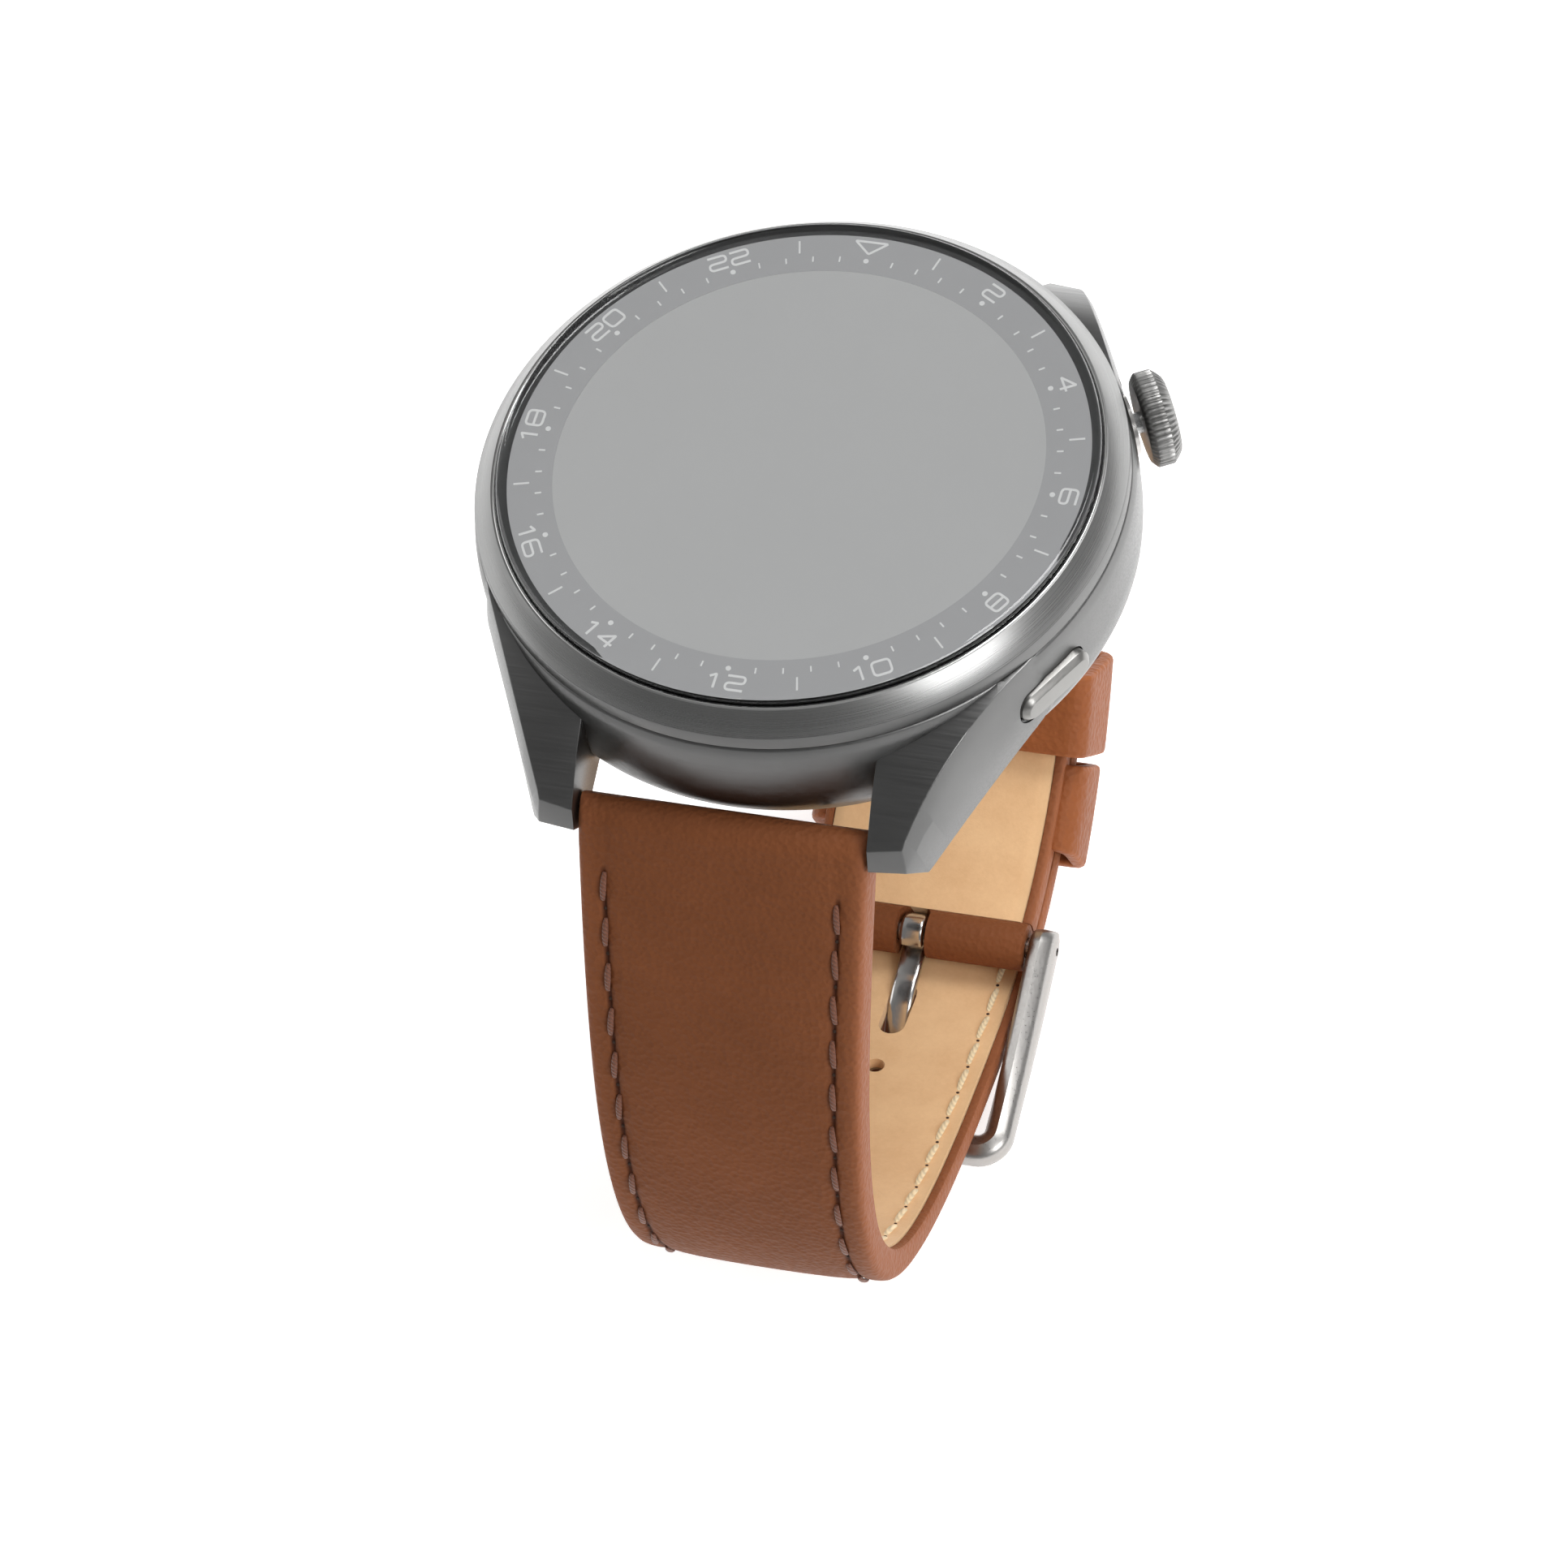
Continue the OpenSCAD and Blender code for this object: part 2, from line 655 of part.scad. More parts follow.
module crown_seals() {
    thick = (tube_bore - fit - (stem_r - 0.2)) / 2;
    color("#1a1a1a") radial(crown_angle, control_z) for (z = seal_z)
        rotate_extrude() translate([stem_r - 0.2 + thick, z]) circle(r = thick, $fn = 32);
}

module encoder_wheel() {
    color("#d8d4c8") radial(crown_angle, control_z) difference() {
        translate([0, 0, wheel_in]) cylinder(h = 1, r = 1.8);
        cylinder(h = case_r, r = stem_r + fit);
        for (k = [0:11]) rotate([0, 0, 30 * k]) translate([1.9, 0, wheel_in - over])
            cylinder(h = 3, r = 0.25, $fn = 16);
    }
}

// Sealed push switch: body, and a plunger that waits just short of the shaft.
module push_switch(end, gap) {
    plunger = 0.5;
    color("#4d5155") {
        translate([0, 0, end - gap - plunger]) cylinder(h = plunger, r = 0.5);
        translate([-1.4, -1.8, end - gap - plunger - 1.2]) cube([2.8, 3.6, 1.2]);
    }
}

module crown_switch() {
    radial(crown_angle, control_z) push_switch(stem_in, crown_travel + 0.05);
}

// ---- button ----
module side_button() {
    chamfer = 0.18;
    color("#a9aaac") radial(button_angle, control_z) difference() {
        union() {
            translate([0, 0, button_back]) linear_extrude(button_face - chamfer - button_back)
                pill(button_len, button_h);
            translate([0, 0, button_back]) linear_extrude(button_face - button_back)
                pill(button_len - 2 * chamfer, button_h - 2 * chamfer);
        }
        translate([0, 0, button_back - over]) cylinder(h = over + 0.6, r = shaft_r + 0.01);
    }
}

button_seal_z = cavity_r + 1.05 + button_travel;
clip_z = cavity_r - 0.45;

module button_stem() {
    color("#c2c4c7") radial(button_angle, control_z) difference() {
        translate([0, 0, shaft_in]) cylinder(h = button_back + 0.6 - shaft_in, r = shaft_r);
        ring_solid(shaft_r - 0.2, shaft_r + 1, button_seal_z - 0.26, 0.52);
        ring_solid(shaft_r - 0.2, shaft_r + 1, clip_z - 0.01, 0.32);
    }
}

module button_seal() {
    thick = (0.32 - fit + 0.18) / 2;
    color("#1a1a1a") radial(button_angle, control_z)
        rotate_extrude() translate([shaft_r - 0.18 + thick, button_seal_z]) circle(r = thick, $fn = 32);
}

module button_clip() {
    color("#7d8085") radial(button_angle, control_z) difference() {
        translate([0, 0, clip_z]) cylinder(h = 0.3, r = 1.4);
        cylinder(h = case_r, r = shaft_r - 0.19);
        translate([0, 0, clip_z - over]) linear_extrude(3) translate([-0.35, 0]) square([0.7, 2]);
    }
}

module button_switch() {
    radial(button_angle, control_z) push_switch(shaft_in, button_travel + 0.05);
}

// ---- spring bars ----
lever_x = bar_half - 3.2;
lever_travel = 1.2;

// Tube with one fixed tip; the other end is bored for the release pin.
module spring_bar(p, head) {
    color("#bfc2c5") difference() {
        union() {
            cross_rod(p, pin_r, 2 * bar_half);
            translate([-bar_half - tip_reach, p[0], p[1]]) rotate([0, 90, 0])
                cylinder(h = tip_reach + over, r = tip_r);
        }
        translate([lever_x - lever_travel - 1.4, p[0], p[1]]) rotate([0, 90, 0])
            cylinder(h = bar_half, r = tip_r + fit);
        translate([lever_x, p[0], p[1]]) rotate([head, 0, 0])
            translate([-lever_travel - 0.5, -2, -0.35]) cube([lever_travel + 1, 2, 0.7]);
    }
}

// Sprung tip, with the small lever that a fingernail pulls.
module release_pin(p, head) {
    color("#d0d2d5") {
        translate([lever_x - 1, p[0], p[1]]) rotate([0, 90, 0])
            cylinder(h = bar_half + tip_reach - lever_x + 1, r = tip_r);
        translate([lever_x, p[0], p[1]]) rotate([head, 0, 0]) {
            translate([0, 0, 0]) rotate([90, 0, 0]) cylinder(h = lining_depth + 0.5, r = 0.3);
            translate([0, -lining_depth - 0.1, 0]) rotate([90, 0, 0]) cylinder(h = 0.5, r = 0.7);
        }
    }
}

// Window in the strap's loop that leaves the release lever its travel.
module lever_window(p, head) {
    translate([lever_x, p[0], p[1]]) rotate([head, 0, 0])
        translate([-lever_travel - 1, -5, -1]) cube([lever_travel + 2, 5, 2]);
}

lever_front = head_front - 90;
lever_rear = head_lug - 90;

module spring_bar_front() { spring_bar(front_bar, lever_front); }
module spring_bar_rear() { spring_bar(rear_bar, lever_rear); }
module release_pin_front() { release_pin(front_bar, lever_front); }
module release_pin_rear() { release_pin(rear_bar, lever_rear); }

// ---- strap, long piece ----
lining_start = 3.4;
long_run = [for (i = [0:44]) long_station(lining_start + (curve_len - lining_start) * i / 44)];
long_top = [for (i = [0:2]) long_station(lining_start * i / 2)];
tail_run = concat(
    [for (a = headings(head_join, head_mid - 0.01, 22)) tail_station(a)],
    [for (a = headings(head_mid, head_tip, 6)) tail_station(a)]
);

// Holes through every layer of the long piece; the one in use is a slot.
module strap_holes() {
    for (k = [-spare_holes:2]) {
        s = long_station(hole_at + k * hole_pitch);
        translate([0, s[0][0], s[0][1]]) rotate([atan2(s[1][1], s[1][0]) - 90, 0, 0])
            linear_extrude(8, center = true)
                if (k == 0) pill(slot_long, tongue_w + 0.6);
                else circle(d = hole_d);
    }
}

module strap_long_outer() {
    ring_c = front_bar + outward(head_front) * (loop_r - lining_depth);
    color("#8a4b2a") intersection() {
        strap_sides();
        difference() {
            union() {
                across(60) band(concat(long_top, long_run, tail_run), [lining_t, 1], [lining_t + outer_t, 1]);
                cross_rod(ring_c, loop_r, 60);
            }
            cross_rod(front_bar, pin_r + fit, 80);
            lever_window(front_bar, lever_front);
            strap_holes();
        }
    }
}

module strap_long_filler() {
    color("#c69a6c") intersection() {
        strap_sides(-0.5);
        difference() {
            across(60) band(concat(long_run, tail_run), [lining_t, 0], [lining_t, 1]);
            strap_holes();
        }
    }
}

module strap_long_lining() {
    color("#dbb07c") intersection() {
        strap_sides();
        difference() {
            across(60) band(concat(long_run, tail_run), [0, 0], [lining_t, 0]);
            strap_holes();
        }
    }
}

// One stitch lying on a face of the strap, side -1 or 1.
module stitch(s, depth, side) {
    x = side * (side_at(s[0][1]) - stitch_inset);
    p = s[0] + s[1] * depth;
    translate([x, p[0], p[1]]) rotate([atan2(s[1][1], s[1][0]), 0, 0])
        cylinder(h = stitch_len, d = thread_d, center = true, $fn = 16);
}

module strap_long_stitching() {
    up = thread_d / 2 + 0.01;
    color("#6b3a22") for (side = [-1, 1]) {
        for (d = [5:stitch_pitch:curve_len - 8]) {
            s = long_station(d);
            stitch(s, lining_t + s[2] + outer_t + up, side);
        }
        for (d = [7:stitch_pitch:curve_len - 1]) stitch(long_station(d), -up, side);
    }
}

// ---- strap, short piece ----
short_start = head_pin + wrap_half;
short_stop = head_lug - lining_start / wrist_r_top * 180 / PI;
short_low = short_run(short_start, head_mid - 0.01, 16);
short_mid = short_run(head_mid, head_top - 0.01, 24);
short_top = short_run(head_top, short_stop, 8);
short_body = concat(short_low, short_mid, short_top);

module strap_short_outer() {
    ring_c = rear_bar + outward(head_lug) * (loop_r - lining_depth);
    ends = concat(short_run(head_pin, short_start, 2), short_body, short_run(short_stop, head_lug, 2));
    color("#8a4b2a") intersection() {
        strap_sides();
        difference() {
            union() {
                across(60) band(ends, [lining_t, 1], [lining_t + outer_t, 1]);
                cross_rod(ring_c, loop_r, 60);
                cross_rod(pin_at, wrap_r, 60);
            }
            cross_rod(rear_bar, pin_r + fit, 80);
            cross_rod(pin_at, pin_r + fit, 80);
            lever_window(rear_bar, lever_rear);
            translate([0, pin_at[0] - 1.4, pin_at[1]]) cube([tongue_w + 1, 7.2, 12], center = true);
        }
    }
}

module strap_short_filler() {
    color("#c69a6c") intersection() {
        strap_sides(-0.5);
        across(60) band(short_body, [lining_t, 0], [lining_t, 1]);
    }
}

module strap_short_lining() {
    color("#dbb07c") intersection() {
        strap_sides();
        across(60) band(short_body, [0, 0], [lining_t, 0]);
    }
}

module strap_short_stitching() {
    up = thread_d / 2 + 0.01;
    step = stitch_pitch / wrist_r_mid * 180 / PI;
    color("#6b3a22") for (side = [-1, 1]) for (a = [free_to + 12:step:head_lug - 5]) {
        s = short_station(a);
        stitch(s, lining_t + s[2] + outer_t + up, side);
    }
}

// ---- keepers ----
// Solid arc band across the strap between two radii and two headings.
module arc_block(c, r0, r1, a0, a1, w) {
    translate([-w / 2, c[0], c[1]]) rotate([90, 0, 90]) rotate_extrude_band(r0, r1, a0, a1, w);
}
module rotate_extrude_band(r0, r1, a0, a1, w) {
    rotate([0, 0, a0 - 90]) rotate_extrude(angle = a1 - a0, $fn = 240)
        translate([r0, 0]) square([r1 - r0, w]);
}

keeper_x = strap_tail_w / 2 + 0.75 + keeper_t;

module keeper_fixed() {
    low = wrist_r_low;
    held = low + short_t;
    roof = low + tail_off + tail_t + 0.5;
    color("#9c5530") difference() {
        arc_block(short_low_c, low + 0.6, roof + keeper_t, fixed_from, fixed_to, 2 * keeper_x);
        intersection() {
            arc_block(short_low_c, held + 0.02, roof, fixed_from - 5, fixed_to + 5, 60);
            strap_sides(0.3);
        }
        intersection() {
            arc_block(short_low_c, 1, held + 0.03, fixed_from - 5, fixed_to + 5, 60);
            strap_sides(0.01);
        }
    }
}

module keeper_free() {
    floor_r = wrist_r_mid - keeper_slack;
    roof = wrist_r_mid + tail_off + tail_t + keeper_slack;
    color("#9c5530") difference() {
        arc_block(short_mid_c, floor_r - keeper_t, roof + keeper_t, free_from, free_to,
            2 * (keeper_x + 0.25));
        intersection() {
            arc_block(short_mid_c, floor_r, roof, free_from - 5, free_to + 5, 60);
            strap_sides(0.55);
        }
    }
}

// ---- buckle ----
pin_half = frame_out_x - 0.4;

module buckle_pin() {
    color("#c9cbce") cross_rod(pin_at, pin_r, 2 * pin_half);
}

module side_bar(x) {
    h1 = buckle_bar_d;
    translate([x, 0, 0]) rotate([90, 0, 90]) linear_extrude(buckle_side) {
        translate(pin_at) circle(d = buckle_h);
        translate(cross_c) circle(d = h1);
        translate(pin_at) rotate(frame_tilt)
            polygon([[0, -buckle_h / 2], [frame_len, -h1 / 2], [frame_len, h1 / 2], [0, buckle_h / 2]]);
    }
}

module buckle_frame() {
    color("#d2d4d6") difference() {
        union() {
            side_bar(frame_in_x);
            side_bar(-frame_out_x);
            cross_rod(cross_c, buckle_bar_d / 2 - 0.02, 2 * frame_in_x);
        }
        cross_rod(pin_at, pin_r + fit, 2 * pin_half + 0.02);
        cross_rod(pin_at, 0.3, 60);
    }
}

// Flat link of the tongue between two points of its path.
module tongue_link(a, b) {
    d = b - a;
    translate(a) rotate(atan2(d[1], d[0])) translate([0, -tongue_t / 2]) square([norm(d), tongue_t]);
    translate(b) circle(d = tongue_t, $fn = 32);
}

module buckle_tongue() {
    color("#d8dadc") difference() {
        across(tongue_w) {
            translate(pin_at) circle(r = tongue_ring);
            for (i = [0:len(tongue_path) - 2]) tongue_link(tongue_path[i], tongue_path[i + 1]);
        }
        cross_rod(pin_at, pin_r + fit, 10);
    }
}

case_middle();
bezel();
front_crystal();
crystal_gasket();
dial_ring();
dial_marks();
display_panel();
display_flex();
inner_frame();
main_board();
shield_cans();
battery();
haptic_motor();
speaker();
microphone();
sensor_board();
optical_sensors();
charging_coil();
ferrite_disc();
back_cover();
back_window();
back_gasket();
back_screws();
crown_tube();
crown_knob();
crown_stem();
crown_seals();
encoder_wheel();
crown_switch();
side_button();
button_stem();
button_clip();
button_seal();
button_switch();
spring_bar_front();
spring_bar_rear();
release_pin_front();
release_pin_rear();
strap_long_outer();
strap_long_filler();
strap_long_lining();
strap_long_stitching();
strap_short_outer();
strap_short_filler();
strap_short_lining();
strap_short_stitching();
keeper_fixed();
keeper_free();
buckle_pin();
buckle_frame();
buckle_tongue();
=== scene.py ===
"""Round smartwatch on a buckled two-piece leather strap, dressed for the eye.

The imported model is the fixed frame. Every shape below is made in millimetres in that
frame: +Z leaves the dial, +Y points to twelve o'clock and +X to three o'clock.
"""
import logging
import math
from dataclasses import dataclass, field
from enum import Enum
from typing import Callable, Iterable, Sequence

import bmesh
import bpy
import numpy as np
from mathutils import Euler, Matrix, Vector


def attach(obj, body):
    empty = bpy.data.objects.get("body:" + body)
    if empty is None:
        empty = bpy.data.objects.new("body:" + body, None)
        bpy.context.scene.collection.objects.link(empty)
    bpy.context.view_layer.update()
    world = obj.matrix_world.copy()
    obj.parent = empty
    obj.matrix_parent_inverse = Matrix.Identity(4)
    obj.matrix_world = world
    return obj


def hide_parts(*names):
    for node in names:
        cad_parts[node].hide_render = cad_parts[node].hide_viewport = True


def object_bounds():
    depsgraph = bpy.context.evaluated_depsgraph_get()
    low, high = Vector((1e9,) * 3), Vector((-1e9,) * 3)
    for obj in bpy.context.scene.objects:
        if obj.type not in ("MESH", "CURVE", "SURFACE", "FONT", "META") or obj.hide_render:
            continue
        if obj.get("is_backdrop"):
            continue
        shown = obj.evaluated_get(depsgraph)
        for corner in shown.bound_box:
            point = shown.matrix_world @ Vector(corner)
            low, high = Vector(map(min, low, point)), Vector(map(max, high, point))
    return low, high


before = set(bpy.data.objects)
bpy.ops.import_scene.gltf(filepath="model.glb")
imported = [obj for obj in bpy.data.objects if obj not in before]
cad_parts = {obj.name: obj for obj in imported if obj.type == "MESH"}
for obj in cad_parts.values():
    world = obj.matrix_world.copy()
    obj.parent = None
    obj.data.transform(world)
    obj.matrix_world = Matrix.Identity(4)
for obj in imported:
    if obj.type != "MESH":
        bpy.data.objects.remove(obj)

LOG = logging.getLogger("smartwatch")
MM = 0.001
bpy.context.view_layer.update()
Array = np.ndarray
Body = bpy.types.Object
Stuff = bpy.types.Material
FLOOR_GAP = 0.0004


# ---------------------------------------------------------------- plane geometry
def outward(angle: float) -> Array:
    """Unit vector in the strap's plane that points away from the wrist at a heading."""
    return np.array([math.sin(math.radians(angle)), -math.cos(math.radians(angle))])


def along(angle: float) -> Array:
    """Unit vector in the strap's plane along a heading."""
    return np.array([math.cos(math.radians(angle)), math.sin(math.radians(angle))])


def on_arc(centre: Array, radius: float, angle: float) -> Array:
    """Point of an arc of the strap's route at a heading."""
    return centre + radius * outward(angle)


def ease(x: float) -> float:
    """Smooth step from 0 to 1."""
    t = min(1.0, max(0.0, x))
    return t * t * (3 - 2 * t)


def rounded_path(points: Sequence[Sequence[float]], radius: float, steps: int = 5,
                 closed: bool = False) -> Array:
    """Rounds the corners of a polyline.

    Args:
        points: corners, each of two numbers.
        radius: how far from a corner its curve starts.
        steps: pieces in each curve.
        closed: whether the line comes back to its start.

    Returns:
        The points of the rounded line.
    """
    corners = [np.asarray(p, float) for p in points]
    count = len(corners)
    made: list[Array] = []
    for i, here in enumerate(corners):
        if not closed and i in (0, count - 1):
            made.append(here)
            continue
        before, after = corners[i - 1], corners[(i + 1) % count]
        a, b = before - here, after - here
        la, lb = float(np.linalg.norm(a)), float(np.linalg.norm(b))
        reach = min(radius, la * 0.49, lb * 0.49)
        start, end = here + a / la * reach, here + b / lb * reach
        for k in range(steps + 1):
            t = k / steps
            made.append((1 - t) ** 2 * start + 2 * t * (1 - t) * here + t * t * end)
    return np.array(made)


def pill(length: float, height: float, steps: int = 14) -> Array:
    """Outline of a pill whose long side runs along the second axis.

    Args:
        length: its full length.
        height: its full width.
        steps: pieces in each round end.

    Returns:
        Rows of the two coordinates.
    """
    r, far = height / 2, (length - height) / 2
    turn = np.linspace(0, math.pi, steps + 1)
    top = np.stack([r * np.cos(turn), far + r * np.sin(turn)], 1)
    return np.concatenate([top, -top])


def radial(points: Array, clock: float, height: float) -> Array:
    """Turns points drawn round a control's own axis to where the control sits.

    Args:
        points: rows of x, y, z, with z along the axis.
        clock: clock angle of the axis, in degrees from twelve o'clock.
        height: height of the axis above the back window.

    Returns:
        The points in the watch's frame.
    """
    out = np.array([math.sin(math.radians(clock)), math.cos(math.radians(clock)), 0.0])
    side = np.array([-out[1], out[0], 0.0])
    down = np.array([0.0, 0.0, -1.0])
    p = np.asarray(points, float)
    return p[:, :1] * down + p[:, 1:2] * side + p[:, 2:3] * out + np.array([0, 0, height])


# ---------------------------------------------------------------- mesh making
class Shell:
    """Collects rings of points in millimetres and turns them into one closed mesh."""

    def __init__(self) -> None:
        """Starts with no points and no faces."""
        self.points: list[Array] = []
        self.tones: list[Array] = []
        self.faces: list[tuple[int, ...]] = []
        self.count = 0

    def loft(self, rings: Sequence[Array], wrap: bool = False, caps: bool = True) -> "Shell":
        """Skins a row of closed rings.

        Args:
            rings: arrays of x, y, z and, where given, a tone from -1 to 1.
            wrap: whether the last ring joins the first.
            caps: whether the two ends are closed.

        Returns:
            The shell, for chaining.
        """
        n, m, base = len(rings[0]), len(rings), self.count
        for ring in rings:
            self.points.append(ring[:, :3])
            self.tones.append(ring[:, 3] if ring.shape[1] > 3 else np.zeros(n))
        self.count += n * m
        for i in range(m if wrap else m - 1):
            j = (i + 1) % m
            for k in range(n):
                q = (k + 1) % n
                self.faces.append((base + i * n + k, base + i * n + q,
                                   base + j * n + q, base + j * n + k))
        if caps and not wrap:
            self.faces.append(tuple(base + k for k in reversed(range(n))))
            self.faces.append(tuple(base + (m - 1) * n + k for k in range(n)))
        return self

    def lathe(self, profile: Sequence[Sequence[float]], steps: int = 256,
              place: Callable[[Array], Array] | None = None) -> "Shell":
        """Turns a closed profile of radius and height about the third axis.

        Args:
            profile: corners of radius and height; those on the axis are merged.
            steps: pieces round the turn.
            place: moves the turned points to where they belong.

        Returns:
            The shell, for chaining.
        """
        p = np.asarray(profile, float)
        rings = []
        for k in range(steps):
            a = 2 * math.pi * k / steps
            ring = np.stack([p[:, 0] * math.cos(a), p[:, 0] * math.sin(a), p[:, 1]], 1)
            rings.append(place(ring) if place else ring)
        return self.loft(rings, wrap=True)

    def finish(self, name: str, smooth: float = 32.0) -> Body:
        """Makes the Blender object.

        Args:
            name: name of the piece.
            smooth: angle in degrees up to which neighbouring faces shade as one.

        Returns:
            The new object, at the origin, in metres.
        """
        mesh = bpy.data.meshes.new(name)
        co = np.concatenate(self.points) * MM
        mesh.from_pydata(co.tolist(), [], self.faces)
        tone = mesh.attributes.new("tone", "FLOAT", "POINT")
        tone.data.foreach_set("value", np.concatenate(self.tones).astype(np.float32))
        tidy(mesh, smooth)
        piece = bpy.data.objects.new(name, mesh)
        bpy.context.scene.collection.objects.link(piece)
        return piece


def tidy(mesh: bpy.types.Mesh, smooth: float) -> None:
    """Merges doubled points, drops empty faces, turns normals outwards and shades.

    Args:
        mesh: the mesh to clean.
        smooth: angle in degrees up to which neighbouring faces shade as one.
    """
    bm = bmesh.new()
    bm.from_mesh(mesh)
    bmesh.ops.remove_doubles(bm, verts=bm.verts[:], dist=2e-7)
    bmesh.ops.dissolve_degenerate(bm, dist=1e-7, edges=bm.edges[:])
    loose = [v for v in bm.verts if not v.link_faces]
    bmesh.ops.delete(bm, geom=loose, context="VERTS")
    bmesh.ops.recalc_face_normals(bm, faces=bm.faces[:])
    bm.to_mesh(mesh)
    bm.free()
    mesh.shade_smooth()
    mesh.set_sharp_from_angle(angle=math.radians(smooth))


def bake(piece: Body, smooth: float = 32.0) -> Body:
    """Applies a piece's modifiers to its mesh.

    Args:
        piece: the object.
        smooth: shading angle in degrees.

    Returns:
        The same object.
    """
    bpy.context.view_layer.update()
    graph = bpy.context.evaluated_depsgraph_get()
    made = bpy.data.meshes.new_from_object(piece.evaluated_get(graph))
    piece.modifiers.clear()
    old, piece.data = piece.data, made
    bpy.data.meshes.remove(old)
    tidy(made, smooth)
    return piece


def combine(piece: Body, tool: Body, way: str = "DIFFERENCE") -> Body:
    """Cuts a tool out of a piece, or joins it on, and removes the tool.

    Args:
        piece: the object that stays.
        tool: the object that is used up; it may not cross itself.
        way: Blender's name for the operation.

    Returns:
        The piece.
    """
    mod = piece.modifiers.new(way.lower(), "BOOLEAN")
    mod.operation, mod.solver, mod.object = way, "EXACT", tool
    bake(piece)
    bpy.data.objects.remove(tool)
    return piece


def ease_edges(piece: Body, width: float, steps: int = 2, angle: float = 30.0) -> Body:
    """Rounds every edge sharper than an angle by a width in millimetres.

    Args:
        piece: the object.
        width: width of the rounding.
        steps: faces across it.
        angle: smallest turn in degrees that is rounded.

    Returns:
        The piece.
    """
    mod = piece.modifiers.new("eased", "BEVEL")
    mod.width, mod.segments, mod.limit_method = width * MM, steps, "ANGLE"
    mod.angle_limit = math.radians(angle)
    mod.harden_normals = False
    return bake(piece)


# ---------------------------------------------------------------- finishes
class Brush(Enum):
    """Way that the fine lines of a brushed metal run."""

    ROUND = "round"
    ACROSS = "across"
    LENGTH = "length"
    NONE = "none"


